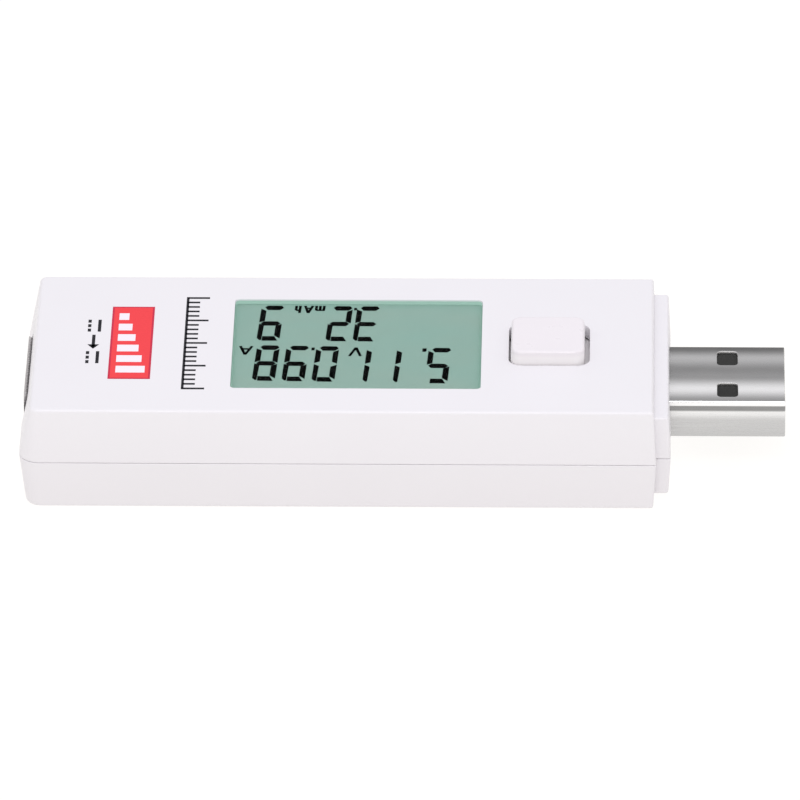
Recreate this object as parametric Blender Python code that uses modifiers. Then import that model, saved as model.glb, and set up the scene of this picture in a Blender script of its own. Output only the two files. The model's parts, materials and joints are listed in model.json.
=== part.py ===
"""USB power meter: an in-line tester with a USB-A plug at +X and a USB-A receptacle at -X.

Frame: metres, +Z up out of the display face, +X along the housing towards the plug's tip.
The origin is under the middle of the whole object, on the plane that the bottom cover rests on.
"""

from math import cos, pi, radians, sin

import bmesh
import bpy
from mathutils import Matrix, Vector

MM = 0.001

# Housing, from its rear end (-X) to the end of the stepped nose (+X)
PLUG_REACH = 12.55 * MM
HOUSING_LENGTH = 71.2 * MM
HOUSING_WIDTH = 30.5 * MM
HOUSING_HEIGHT = 12.2 * MM
LENGTH = HOUSING_LENGTH + PLUG_REACH
REAR_X = -LENGTH / 2
NOSE_X = REAR_X + HOUSING_LENGTH
TIP_X = LENGTH / 2
NOSE_LENGTH = 1.6 * MM
BODY_X = NOSE_X - NOSE_LENGTH
HALF_WIDTH = HOUSING_WIDTH / 2
WALL = 1.5 * MM
PARTING_Z = 5.8 * MM
PARTING_GAP = 0.05 * MM

# Each cover tapers from the parting line to its face: how far each side leans in
TOP_DRAFT = {"rear": 1.3 * MM, "front": 0.3 * MM, "side": 0.5 * MM}
BOTTOM_DRAFT = {"rear": 0.7 * MM, "front": 0.3 * MM, "side": 0.4 * MM}
REAR_CORNER = 2.3 * MM
FRONT_CORNER = 0.45 * MM
TOP_EDGE = 0.35 * MM
BOTTOM_EDGE = 0.5 * MM

# Catches that hold the covers together, two along each side
HOOK_PLACES = [(x * MM, side) for x in (-21.5, 6.5) for side in (-1, 1)]
HOOK_LENGTH = 5.0 * MM
HOOK_Y = 13.55 * MM

# Nose: the narrower, lower step that the plug comes out of
NOSE_HALF_WIDTH = 13.8 * MM
NOSE_TOP_Z = 10.85 * MM
NOSE_BOTTOM_Z = 1.2 * MM
NOSE_DRAFT = 0.25 * MM
NOSE_SIDE_DRAFT = 0.2 * MM
NOSE_TOP_EDGE = 0.25 * MM
NOSE_BOTTOM_EDGE = 0.4 * MM

# Display window and the parts behind it
WINDOW_X = -5.15 * MM
WINDOW_LENGTH = 27.35 * MM
WINDOW_WIDTH = 19.4 * MM
WINDOW_LEDGE = 0.5 * MM
WINDOW_RECESS = 0.12 * MM
WINDOW_CORNER = 0.5 * MM
POCKET_LENGTH = 30.2 * MM
POCKET_WIDTH = 22.2 * MM
LENS = 0.35 * MM
ADHESIVE = 0.04 * MM
FILM_LENGTH = 28.2 * MM
FILM_WIDTH = 20.4 * MM
GLASS_LENGTH = 29.0 * MM
FRONT_GLASS_WIDTH = 21.2 * MM
REAR_GLASS_WIDTH = 17.6 * MM
GLASS = 0.55 * MM
POLARISER = 0.15 * MM
HOLDER_WALL = 0.65 * MM
ZEBRA_Y = 9.75 * MM
PEG_RADIUS = 0.5 * MM
PEG_PLACES = [(WINDOW_X - 12 * MM, 8.45 * MM), (WINDOW_X + 12 * MM, -8.45 * MM)]

# Mode button, its hole and the switch under it
HOLE_X = 15.97 * MM
HOLE_LENGTH = 9.05 * MM
HOLE_WIDTH = 9.3 * MM
HOLE_CORNER = 1.4 * MM
CAP_X = 15.815 * MM
CAP_LENGTH = 7.9 * MM
CAP_WIDTH = 8.85 * MM
CAP_CORNER = 1.1 * MM
CAP_PROUD = 1.6 * MM
CAP_WALL = 0.9 * MM
CAP_DRAFT = 0.35 * MM
CAP_EDGE = 0.4 * MM
CAP_FLANGE_Z = 10.0 * MM
CAP_FLANGE = 0.6 * MM
CAP_REACH = 0.6 * MM
STEM_Z = 9.8 * MM
SWITCH_SIDE = 6.2 * MM
SWITCH_TOP_Z = 8.9 * MM
PLUNGER_TOP_Z = 9.75 * MM
PLUNGER_RADIUS = 1.6 * MM

# Circuit board, half way up both connectors
CONNECTOR_Z = 6.3 * MM
BOARD = 1.0 * MM
BOARD_TOP_Z = CONNECTOR_Z + BOARD / 2
BOARD_BOTTOM_Z = CONNECTOR_Z - BOARD / 2
BOARD_REAR_X = REAR_X + 2.6 * MM
BOARD_FRONT_X = BODY_X - 1.8 * MM
BOARD_HALF_WIDTH = 12.6 * MM
BOSS_PLACES = [(x * MM, y * MM) for x in (-25.8, 23.2) for y in (-10.6, 10.6)]
BOSS_RADIUS = 1.9 * MM
SCREW_RADIUS = 0.8 * MM

# USB-A plug and receptacle (standard sizes)
PLUG_WIDTH = 12.0 * MM
PLUG_HEIGHT = 4.5 * MM
PLUG_REAR_X = NOSE_X - 6.6 * MM
SHEET = 0.3 * MM
LATCH_FROM_TIP = 5.2 * MM
LATCH_LENGTH = 2.25 * MM
LATCH_WIDTH = 3.0 * MM
LATCH_Y = 3.45 * MM
SOCKET_WIDTH = 13.1 * MM
SOCKET_HEIGHT = 5.7 * MM
SOCKET_LENGTH = 14.0 * MM
SOCKET_X = REAR_X + 0.3 * MM
SOCKET_FLARE = 0.25 * MM
TONGUE_WIDTH = 11.1 * MM
TONGUE = 1.84 * MM
CONTACT_YS = [y * MM for y in (-3.5, -1.0, 1.0, 3.5)]
CONTACT_WIDTH = 1.0 * MM
CONTACT = 0.25 * MM
LEG_LENGTH = 1.4 * MM
LEG_REACH = 1.3 * MM
SOCKET_LEG_X = SOCKET_X + 8.0 * MM
PLUG_LEG_X = PLUG_REAR_X + 1.6 * MM
LEG_PLACES = [
    (x, side * (width / 2 + LEG_REACH))
    for x, width in ((SOCKET_LEG_X, SOCKET_WIDTH), (PLUG_LEG_X, PLUG_WIDTH))
    for side in (-1, 1)
]

# Clearances
FIT = 0.1 * MM
LIE = 0.03 * MM


def clear_scene():
    for obj in list(bpy.data.objects):
        bpy.data.objects.remove(obj, do_unlink=True)


def make_collection(name):
    made = bpy.data.collections.new(name)
    bpy.context.scene.collection.children.link(made)
    return made


clear_scene()
PARTS = make_collection("usb_power_meter")
HELPERS = make_collection("construction_shapes")


# ---------------------------------------------------------------- materials


def material(name, colour, roughness, metallic=0.0, transmission=0.0):
    made = bpy.data.materials.new(name)
    made.use_nodes = True
    made.diffuse_color = (*colour, 1.0)
    shader = made.node_tree.nodes["Principled BSDF"]
    shader.inputs["Base Color"].default_value = (*colour, 1.0)
    shader.inputs["Roughness"].default_value = roughness
    shader.inputs["Metallic"].default_value = metallic
    shader.inputs["Transmission Weight"].default_value = transmission
    return made


WHITE_ABS = material("white_abs", (0.86, 0.84, 0.85), 0.35)
BUTTON_ABS = material("button_abs", (0.88, 0.86, 0.87), 0.3)
CLEAR_PMMA = material("clear_pmma", (0.95, 0.97, 0.96), 0.05, transmission=1.0)
OPTICAL_ADHESIVE = material("optical_adhesive", (0.93, 0.95, 0.94), 0.1, transmission=1.0)
POLARISER_FILM = material("polariser_film", (0.29, 0.44, 0.38), 0.2)
DISPLAY_GLASS = material("display_glass", (0.75, 0.85, 0.80), 0.05, transmission=0.8)
REFLECTOR_FILM = material("reflector_film", (0.30, 0.45, 0.39), 0.35)
HOLDER_PLASTIC = material("holder_plastic", (0.80, 0.80, 0.78), 0.5)
ZEBRA_RUBBER = material("zebra_rubber", (0.55, 0.25, 0.20), 0.7)
BOARD_GREEN = material("board_green", (0.02, 0.20, 0.07), 0.4)
STEEL_NICKEL = material("steel_nickel", (0.62, 0.62, 0.64), 0.25, metallic=1.0)
CONTACT_GOLD = material("contact_gold", (0.83, 0.60, 0.25), 0.3, metallic=1.0)
CONNECTOR_BLACK = material("connector_black", (0.03, 0.03, 0.03), 0.5)
SWITCH_BLACK = material("switch_black", (0.02, 0.02, 0.02), 0.5)
CHIP_EPOXY = material("chip_epoxy", (0.03, 0.03, 0.035), 0.6)
CERAMIC = material("ceramic", (0.55, 0.45, 0.35), 0.6)
SCREW_STEEL = material("screw_steel", (0.35, 0.35, 0.37), 0.35, metallic=1.0)


# ---------------------------------------------------------------- shapes


def add_object(name, mesh, location=(0, 0, 0), collection=None):
    obj = bpy.data.objects.new(name, mesh)
    obj.location = location
    (collection or HELPERS).objects.link(obj)
    if obj.name in HELPERS.objects:
        obj.hide_render = True
        obj.display_type = "WIRE"
    return obj


def block(name, size, centre):
    """A box of this size, with its origin at its own centre."""
    mesh = bpy.data.meshes.new(name)
    shape = bmesh.new()
    bmesh.ops.create_cube(shape, size=1.0, matrix=Matrix.Diagonal((*size, 1.0)))
    shape.to_mesh(mesh)
    shape.free()
    return add_object(name, mesh, centre)


def span(name, low, high):
    """A box between two opposite corners."""
    low, high = Vector(low), Vector(high)
    return block(name, high - low, (low + high) / 2)


def cylinder(name, radius, low, high, place, sides=24):
    """An upright cylinder from height low to height high at place (x, y)."""
    mesh = bpy.data.meshes.new(name)
    shape = bmesh.new()
    bmesh.ops.create_cone(
        shape, cap_ends=True, segments=sides, radius1=radius, radius2=radius, depth=high - low
    )
    shape.to_mesh(mesh)
    shape.free()
    return add_object(name, mesh, (*place, (low + high) / 2))


def rounded_outline(x0, x1, y0, y1, radii, steps=5):
    """Points round a rectangle, with a radius each for corners x0y0, x1y0, x1y1 and x0y1."""
    corners = [(x0, y0, 1, 1), (x1, y0, -1, 1), (x1, y1, -1, -1), (x0, y1, 1, -1)]
    points = []
    for number, ((x, y, inward_x, inward_y), radius) in enumerate(zip(corners, radii)):
        centre_x, centre_y = x + inward_x * radius, y + inward_y * radius
        for step in range(steps + 1):
            angle = pi + (number + step / steps) * pi / 2
            points.append((centre_x + radius * cos(angle), centre_y + radius * sin(angle)))
    return points


def rectangle(length, width, radius=0.0, steps=3):
    """A centred rectangle's outline, with round corners where a radius is given."""
    x, y = length / 2, width / 2
    if radius == 0:
        return [(-x, -y), (x, -y), (x, y), (-x, y)]
    return rounded_outline(-x, x, -y, y, [radius] * 4, steps)


def loft(name, sections, closed=True, location=(0, 0, 0)):
    """A skin through rings of as many points each; closed caps its two ends."""
    mesh = bpy.data.meshes.new(name)
    shape = bmesh.new()
    rings = [[shape.verts.new(point) for point in ring] for ring in sections]
    count = len(rings[0])
    for lower, upper in zip(rings, rings[1:]):
        for i in range(count):
            j = (i + 1) % count
            shape.faces.new((lower[i], lower[j], upper[j], upper[i]))
    if closed:
        shape.faces.new(rings[0][::-1])
        shape.faces.new(rings[-1])
        bmesh.ops.recalc_face_normals(shape, faces=shape.faces)
    shape.to_mesh(mesh)
    shape.free()
    return add_object(name, mesh, location)


def extruded(name, loops, thickness, location, rotation=(0, 0, 0)):
    """A flat outline (and its holes) made thick: a filled 2D curve turned into a mesh."""
    curve = bpy.data.curves.new(name, "CURVE")
    curve.dimensions = "2D"
    curve.fill_mode = "BOTH"
    curve.extrude = thickness / 2
    for loop in loops:
        spline = curve.splines.new("POLY")
        spline.points.add(len(loop) - 1)
        spline.use_cyclic_u = True
        for point, (x, y) in zip(spline.points, loop):
            point.co = (x, y, 0, 1)
    drawn = add_object(name + "_outline", curve)
    graph = bpy.context.evaluated_depsgraph_get()
    mesh = bpy.data.meshes.new_from_object(drawn.evaluated_get(graph))
    bpy.data.objects.remove(drawn, do_unlink=True)
    shape = bmesh.new()
    shape.from_mesh(mesh)
    bmesh.ops.remove_doubles(shape, verts=shape.verts, dist=1e-6)
    bmesh.ops.recalc_face_normals(shape, faces=shape.faces)
    shape.to_mesh(mesh)
    shape.free()
    mesh.name = name
    obj = add_object(name, mesh, location)
    obj.rotation_euler = rotation
    return obj


def plate(name, length, width, low, thickness, x=0.0, radius=0.0):
    """A flat rectangular plate whose underside is at height low."""
    outline = rectangle(length, width, radius)
    return extruded(name, [outline], thickness, (x, 0, low + thickness / 2))


def turned(name, profile, location, steps=24):
    """A round piece: its profile, from the top of the axis down the outer side, and a Screw."""
    mesh = bpy.data.meshes.new(name)
    points = [(radius, 0, height) for radius, height in profile]
    edges = [(i, i + 1) for i in range(len(points) - 1)]
    mesh.from_pydata(points, edges, [])
    obj = add_object(name, mesh, location)
    screw = obj.modifiers.new("Turn", "SCREW")
    screw.axis = "Z"
    screw.steps = screw.render_steps = steps
    screw.use_merge_vertices = True
    screw.merge_threshold = 1e-6
    return obj


def bevel(obj, width, segments=1, angle=40):
    modifier = obj.modifiers.new("Round edges", "BEVEL")
    modifier.width = width
    modifier.segments = segments
    modifier.limit_method = "ANGLE"
    modifier.angle_limit = radians(angle)
    return obj


def round_rim(obj, height, width, segments):
    """Rounds only the edges round the flat face at this height, in the object's own frame."""
    weights = obj.data.attributes.new("bevel_weight_edge", "FLOAT", "EDGE")
    for edge in obj.data.edges:
        ends = [obj.data.vertices[i].co.z for i in edge.vertices]
        weights.data[edge.index].value = float(all(abs(z - height) < 1e-7 for z in ends))
    modifier = obj.modifiers.new("Round rim", "BEVEL")
    modifier.width = width
    modifier.segments = segments
    modifier.limit_method = "WEIGHT"
    modifier.use_clamp_overlap = False


def combine(obj, other, operation):
    modifier = obj.modifiers.new(other.name, "BOOLEAN")
    modifier.operation = operation
    modifier.object = other


def cut(obj, *cutters):
    for cutter in cutters:
        combine(obj, cutter, "DIFFERENCE")


def join(obj, *others):
    for other in others:
        combine(obj, other, "UNION")


def smooth(obj, angle=30):
    """Shades round faces smooth and keeps edges sharper than the angle crisp."""
    obj.data.shade_smooth()
    obj.data.set_sharp_from_angle(angle=radians(angle))


def part(obj, surface):
    """Makes a shape one of the meter's pieces."""
    HELPERS.objects.unlink(obj)
    PARTS.objects.link(obj)
    obj.hide_render = False
    obj.display_type = "TEXTURED"
    obj.data.materials.clear()
    obj.data.materials.append(surface)
    obj.parent = METER
    return obj


METER = add_object("usb_power_meter", None, collection=PARTS)


# ---------------------------------------------------------------- housing sections


def body_section(face_z, draft, z, inset=0.0):
    """The housing's outline at height z, on the cover whose outer face is at face_z."""
    along = (z - PARTING_Z) / (face_z - PARTING_Z)
    x0 = REAR_X + draft["rear"] * along + inset
    x1 = BODY_X - draft["front"] * along - inset
    y = HALF_WIDTH - draft["side"] * along - inset
    rear = max(REAR_CORNER * (1 - 0.65 * along) - inset, 0.5 * MM)
    front = FRONT_CORNER
    outline = rounded_outline(x0, x1, -y, y, (rear, front, front, rear))
    return [(px, py, z) for px, py in outline]


def nose_section(face_z, z, inset=0.0, overlap=2.0 * MM):
    along = (z - PARTING_Z) / (face_z - PARTING_Z)
    x1 = NOSE_X - NOSE_DRAFT * along - inset
    y = NOSE_HALF_WIDTH - NOSE_SIDE_DRAFT * along - inset
    small = 0.1 * MM
    corner = max(0.5 * MM - inset, small)
    outline = rounded_outline(BODY_X - overlap, x1, -y, y, (small, corner, corner, small), 3)
    return [(px, py, z) for px, py in outline]


def body_block(name, face_z, draft, start_z, end_z, inset=0.0):
    return loft(
        name, [body_section(face_z, draft, z, inset) for z in (start_z, end_z)]
    )


def nose_block(name, face_z, start_z, end_z, inset=0.0, overlap=2.0 * MM):
    return loft(
        name, [nose_section(face_z, z, inset, overlap) for z in (start_z, end_z)]
    )


def interior(name, face_z, draft, nose_z, start_z, end_z, inset):
    """The housing's inside at this inset, the body's and the nose's rooms joined."""
    room = body_block(name, face_z, draft, start_z, end_z, inset)
    if nose_z > PARTING_Z:
        nose_end = min(end_z, nose_z - inset)
    else:
        nose_end = max(end_z, nose_z + inset)
    join(room, nose_block(name + "_nose", nose_z, start_z, nose_end, inset, 4 * MM))
    return room


def opening(name, width, height, x0, x1, radius):
    """A straight tunnel along X, centred on the connectors' height."""
    outline = rectangle(width, height, radius)
    rings = [[(x, y, CONNECTOR_Z + z) for y, z in outline] for x in (x0, x1)]
    return loft(name, rings)


def connector_openings(prefix):
    socket = opening(
        prefix + "_socket_way",
        SOCKET_WIDTH + 2 * SOCKET_FLARE + 4 * FIT,
        SOCKET_HEIGHT + 2 * SOCKET_FLARE + 4 * FIT,
        REAR_X - 1 * MM,
        REAR_X + 4 * MM,
        1.0 * MM,
    )
    plug = opening(
        prefix + "_plug_way",
        PLUG_WIDTH + 2 * FIT,
        PLUG_HEIGHT + 2 * FIT,
        BODY_X - 3 * MM,
        NOSE_X + 1 * MM,
        0.6 * MM,
    )
    return socket, plug


# ---------------------------------------------------------------- covers


def make_top_cover():
    parting = PARTING_Z + PARTING_GAP
    face = HOUSING_HEIGHT
    cover = body_block("top_cover", face, TOP_DRAFT, parting, face)
    round_rim(cover, face, TOP_EDGE, 3)
    nose = nose_block("top_nose", NOSE_TOP_Z, parting, NOSE_TOP_Z)
    round_rim(nose, NOSE_TOP_Z, NOSE_TOP_EDGE, 2)
    join(cover, nose)
    ceiling = face - WALL
    below = parting - 1 * MM
    cut(cover, interior("top_room", face, TOP_DRAFT, NOSE_TOP_Z, below, ceiling, WALL))
    groove_top = PARTING_Z + 1.0 * MM
    groove = interior("top_groove", face, TOP_DRAFT, NOSE_TOP_Z, below, groove_top, 0.7 * MM)
    cut(cover, groove, *connector_openings("top"))

    low, through = ceiling - MM, 4 * MM
    pocket_depth = face - WINDOW_LEDGE - low
    window = plate(
        "window_way", WINDOW_LENGTH, WINDOW_WIDTH, low, through, WINDOW_X, WINDOW_CORNER
    )
    pocket = plate("window_pocket", POCKET_LENGTH, POCKET_WIDTH, low, pocket_depth, WINDOW_X)
    hole = plate("button_way", HOLE_LENGTH, HOLE_WIDTH, low, through, HOLE_X, HOLE_CORNER)
    cut(cover, window, pocket, hole)

    bore_radius = SCREW_RADIUS + 0.05 * MM
    bore_low, bore_high = BOARD_TOP_Z - MM, ceiling - 0.3 * MM
    for number, place in enumerate(BOSS_PLACES, 1):
        boss = cylinder(f"boss_{number}", BOSS_RADIUS, BOARD_TOP_Z + LIE, ceiling + 0.2 * MM, place)
        bore = cylinder(f"boss_bore_{number}", bore_radius, bore_low, bore_high, place, 16)
        join(cover, boss)
        cut(cover, bore)
    for number, (x, side) in enumerate(HOOK_PLACES, 1):
        join(cover, snap_hook(f"snap_hook_{number}", x, side))
    smooth(cover)
    part(cover, WHITE_ABS)


def snap_hook(name, x, side):
    """A tab that hangs from the top cover's ceiling edge into the bottom cover, with a catch."""
    outer, inner = HOOK_Y, HOOK_Y - 0.8 * MM
    catch = 0.35 * MM
    profile = [
        (inner, 3.4 * MM),
        (outer - 0.3 * MM, 3.4 * MM),
        (outer + catch, 4.0 * MM),
        (outer, 4.4 * MM),
        (outer, 7.4 * MM),
        (outer + 0.6 * MM, 8.0 * MM),
        (outer + 0.6 * MM, 9.0 * MM),
        (inner, 8.4 * MM),
    ]
    outline = [(side * y, z) for y, z in profile]
    return extruded(name, [outline], HOOK_LENGTH, (x, 0, 0), (pi / 2, 0, pi / 2))


def make_bottom_cover():
    parting = PARTING_Z - PARTING_GAP
    cover = body_block("bottom_cover", 0.0, BOTTOM_DRAFT, parting, 0.0)
    round_rim(cover, 0.0, BOTTOM_EDGE, 4)
    nose = nose_block("bottom_nose", NOSE_BOTTOM_Z, parting, NOSE_BOTTOM_Z)
    round_rim(nose, NOSE_BOTTOM_Z, NOSE_BOTTOM_EDGE, 2)
    join(cover, nose)

    top = parting + 1 * MM
    lip_top = PARTING_Z + 0.9 * MM
    lip_root = parting - 0.3 * MM
    lip = interior("lip", HOUSING_HEIGHT, TOP_DRAFT, NOSE_TOP_Z, lip_top, lip_root, 0.8 * MM)
    join(cover, lip)
    cut(cover, interior("bottom_room", 0.0, BOTTOM_DRAFT, NOSE_BOTTOM_Z, top, WALL, WALL))
    cut(cover, *connector_openings("bottom"))

    floor = WALL - 0.2 * MM
    cradles = [
        (REAR_X + 5 * MM, 7 * MM, 3.4 * MM),
        (REAR_X + 11 * MM, 7 * MM, 3.4 * MM),
        (BODY_X - 3.2 * MM, 6.5 * MM, 4.0 * MM),
    ]
    ribs = []
    for x, y, top in cradles:
        ribs.append(span(f"cradle_{len(ribs)}", (x, -y, floor), (x + MM, y, top)))
    for x in (-12.0 * MM, 16.0 * MM):
        for side in (-1, 1):
            name = f"board_rest_{len(ribs)}"
            inner, outer = side * 11.8 * MM, side * (HALF_WIDTH - WALL + 0.3 * MM)
            low = (x - 0.6 * MM, min(inner, outer), floor)
            high = (x + 0.6 * MM, max(inner, outer), BOARD_BOTTOM_Z - LIE)
            ribs.append(span(name, low, high))
    join(cover, *ribs)
    for number, (x, side) in enumerate(HOOK_PLACES, 1):
        depth = HOOK_Y + 0.55 * MM
        inner, outer = sorted((side * (HOOK_Y - MM), side * depth))
        low = (x - HOOK_LENGTH / 2 - 2 * FIT, inner, 3.3 * MM)
        high = (x + HOOK_LENGTH / 2 + 2 * FIT, outer, 4.6 * MM)
        cut(cover, span(f"catch_slot_{number}", low, high))
    smooth(cover)
    part(cover, WHITE_ABS)


# ---------------------------------------------------------------- display


def make_display():
    """The stack in the window, from the lens down to the reflector, each piece lying on the next."""
    x = WINDOW_X
    length, width = WINDOW_LENGTH - 2 * FIT, WINDOW_WIDTH - 2 * FIT
    corner = WINDOW_CORNER - FIT
    lens_low = HOUSING_HEIGHT - WINDOW_RECESS - LENS
    part(plate("display_lens", length, width, lens_low, LENS, x, corner), CLEAR_PMMA)
    sheet_low = lens_low - LIE - ADHESIVE
    sheet = plate("lens_adhesive", length, width, sheet_low, ADHESIVE, x, corner)
    part(sheet, OPTICAL_ADHESIVE)
    film_low = sheet_low - LIE - POLARISER
    film = plate("lcd_front_polariser", FILM_LENGTH, FILM_WIDTH, film_low, POLARISER, x)
    part(film, POLARISER_FILM)

    front_low = film_low - LIE - GLASS
    front = plate("lcd_front_glass", GLASS_LENGTH, FRONT_GLASS_WIDTH, front_low, GLASS, x)
    part(front, DISPLAY_GLASS)
    rear_low = front_low - LIE - GLASS
    rear = plate("lcd_rear_glass", GLASS_LENGTH, REAR_GLASS_WIDTH, rear_low, GLASS, x)
    part(rear, DISPLAY_GLASS)
    back_low = rear_low - LIE - POLARISER
    back_width = REAR_GLASS_WIDTH - 0.6 * MM
    back = plate("lcd_reflector", FILM_LENGTH, back_width, back_low, POLARISER, x)
    part(back, REFLECTOR_FILM)

    make_display_holder(back_low - LIE)
    low, high = BOARD_TOP_Z + LIE, front_low - LIE
    for number, side in enumerate((-1, 1), 1):
        size = (GLASS_LENGTH - 0.6 * MM, 1.4 * MM, high - low)
        strip = block(f"zebra_strip_{number}", size, (x, side * ZEBRA_Y, (low + high) / 2))
        part(strip, ZEBRA_RUBBER)


def make_display_holder(table_z):
    """A frame round the glass, a table under it, and a slot along each side for a zebra strip."""
    x = WINDOW_X
    low, high = BOARD_TOP_Z + LIE, HOUSING_HEIGHT - WALL - FIT
    inner_length, inner_width = GLASS_LENGTH + 3 * FIT, FRONT_GLASS_WIDTH + 2 * FIT
    frame = [
        rectangle(inner_length + 2 * HOLDER_WALL, inner_width + 2 * HOLDER_WALL),
        rectangle(inner_length, inner_width),
    ]
    holder = extruded("lcd_holder", frame, high - low, (x, 0, (low + high) / 2))
    half_length = inner_length / 2 + 0.2 * MM
    slot_edge = ZEBRA_Y - 0.7 * MM - FIT
    table = 0.6 * MM
    join(
        holder,
        span(
            "holder_table",
            (x - half_length, -slot_edge, table_z - table),
            (x + half_length, slot_edge, table_z),
        ),
    )
    for side in (-1, 1):
        inner, outer = sorted((side * (slot_edge - 0.6 * MM), side * slot_edge))
        rib = span(
            f"holder_rib_{side + 2}",
            (x - half_length, inner, low),
            (x + half_length, outer, table_z - table / 2),
        )
        join(holder, rib)
    for number, place in enumerate(PEG_PLACES, 1):
        foot = cylinder(f"holder_peg_{number}", PEG_RADIUS, BOARD_BOTTOM_Z, low + 0.6 * MM, place, 12)
        join(holder, foot)
    part(holder, HOLDER_PLASTIC)


# ---------------------------------------------------------------- button and switch


def make_button():
    """The cap: a hollow drafted key with a flange that the ceiling holds, and a stem."""
    base_z = CAP_FLANGE_Z
    top_z = HOUSING_HEIGHT + CAP_PROUD

    def ring(z, inset, radius):
        outline = rectangle(CAP_LENGTH - 2 * inset, CAP_WIDTH - 2 * inset, radius, 5)
        return [(px, py, z - base_z) for px, py in outline]

    sections = [
        ring(base_z, 0.0, CAP_CORNER),
        ring(HOUSING_HEIGHT, 0.0, CAP_CORNER),
        ring(top_z, CAP_DRAFT, CAP_CORNER),
    ]
    cap = loft("button_cap", sections, location=(CAP_X, 0, base_z))
    round_rim(cap, top_z - base_z, CAP_EDGE, 3)
    flange = plate(
        "cap_flange",
        HOLE_LENGTH + 2 * CAP_REACH,
        HOLE_WIDTH + 2 * CAP_REACH,
        base_z,
        CAP_FLANGE,
        HOLE_X,
        CAP_CORNER,
    )
    join(cap, flange)
    hollow = plate(
        "cap_hollow",
        CAP_LENGTH - 2 * CAP_WALL - 0.4 * MM,
        CAP_WIDTH - 2 * CAP_WALL - 0.4 * MM,
        base_z - MM,
        top_z - CAP_WALL - base_z + MM,
        CAP_X,
    )
    cut(cap, hollow)
    join(cap, cylinder("cap_stem", 1.25 * MM, STEM_Z, top_z - 0.5 * MM, (CAP_X, 0)))
    smooth(cap)
    part(cap, BUTTON_ABS)


def make_switch():
    place = Vector((CAP_X, 0, 0))
    low = BOARD_TOP_Z + LIE
    size = (SWITCH_SIDE, SWITCH_SIDE, SWITCH_TOP_Z - low)
    base = block("switch_base", size, (CAP_X, 0, (low + SWITCH_TOP_Z) / 2))
    well_z = SWITCH_TOP_Z - 1.5 * MM
    cut(base, cylinder("switch_well", 2.5 * MM, well_z, SWITCH_TOP_Z + MM, place.xy))
    part(base, SWITCH_BLACK)

    cover_low, cover_sheet = SWITCH_TOP_Z + LIE, 0.2 * MM
    corner = 0.2 * MM
    cover = plate("switch_cover", SWITCH_SIDE, SWITCH_SIDE, cover_low, cover_sheet, CAP_X, corner)
    hole_radius = PLUNGER_RADIUS + 0.08 * MM
    hole = cylinder(
        "switch_cover_hole", hole_radius, SWITCH_TOP_Z - MM, SWITCH_TOP_Z + MM, place.xy
    )
    cut(cover, hole)
    part(cover, STEEL_NICKEL)

    dome_low, rise, sheet = well_z + LIE, 0.7 * MM, 0.12 * MM
    dome_radius = 2.3 * MM
    rise_steps = 6

    def dome_point(step, drop):
        share = step / rise_steps
        return (share * dome_radius, dome_low + rise * (1 - share**2) + sheet - drop)

    profile = [dome_point(step, 0.0) for step in range(rise_steps + 1)]
    profile += [dome_point(step, sheet) for step in range(rise_steps, -1, -1)]
    dome = turned("switch_dome", profile, place)
    part(dome, STEEL_NICKEL)

    seat = dome_low + rise + sheet + LIE
    shoulder = seat + 0.35 * MM
    tip_round = 0.2 * MM
    profile = [
        (0, PLUNGER_TOP_Z - seat),
        (PLUNGER_RADIUS - tip_round, PLUNGER_TOP_Z - seat),
        (PLUNGER_RADIUS, PLUNGER_TOP_Z - seat - tip_round),
        (PLUNGER_RADIUS, shoulder - seat),
        (2.1 * MM, shoulder - seat),
        (2.1 * MM, 0.1 * MM),
        (0.9 * MM, 0),
        (0, 0),
    ]
    plunger = turned("switch_plunger", profile, place + Vector((0, 0, seat)))
    smooth(plunger)
    part(plunger, SWITCH_BLACK)

    number = 0
    for side in (-1, 1):
        for along in (-2.25 * MM, 2.25 * MM):
            number += 1
            inner, outer = SWITCH_SIDE / 2 + LIE, SWITCH_SIDE / 2 + 1.2 * MM
            profile = [
                (inner, low + 0.8 * MM),
                (inner, low + 0.6 * MM),
                (inner + 0.3 * MM, low),
                (outer, low),
                (outer, low + 0.2 * MM),
                (inner + 0.4 * MM, low + 0.2 * MM),
                (inner + 0.2 * MM, low + 0.8 * MM),
            ]
            outline = [(side * y, z) for y, z in profile]
            name = f"switch_terminal_{number}"
            foot = extruded(name, [outline], 0.7 * MM, (CAP_X + along, 0, 0), (pi / 2, 0, pi / 2))
            part(foot, STEEL_NICKEL)


# ---------------------------------------------------------------- circuit board and its parts


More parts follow.
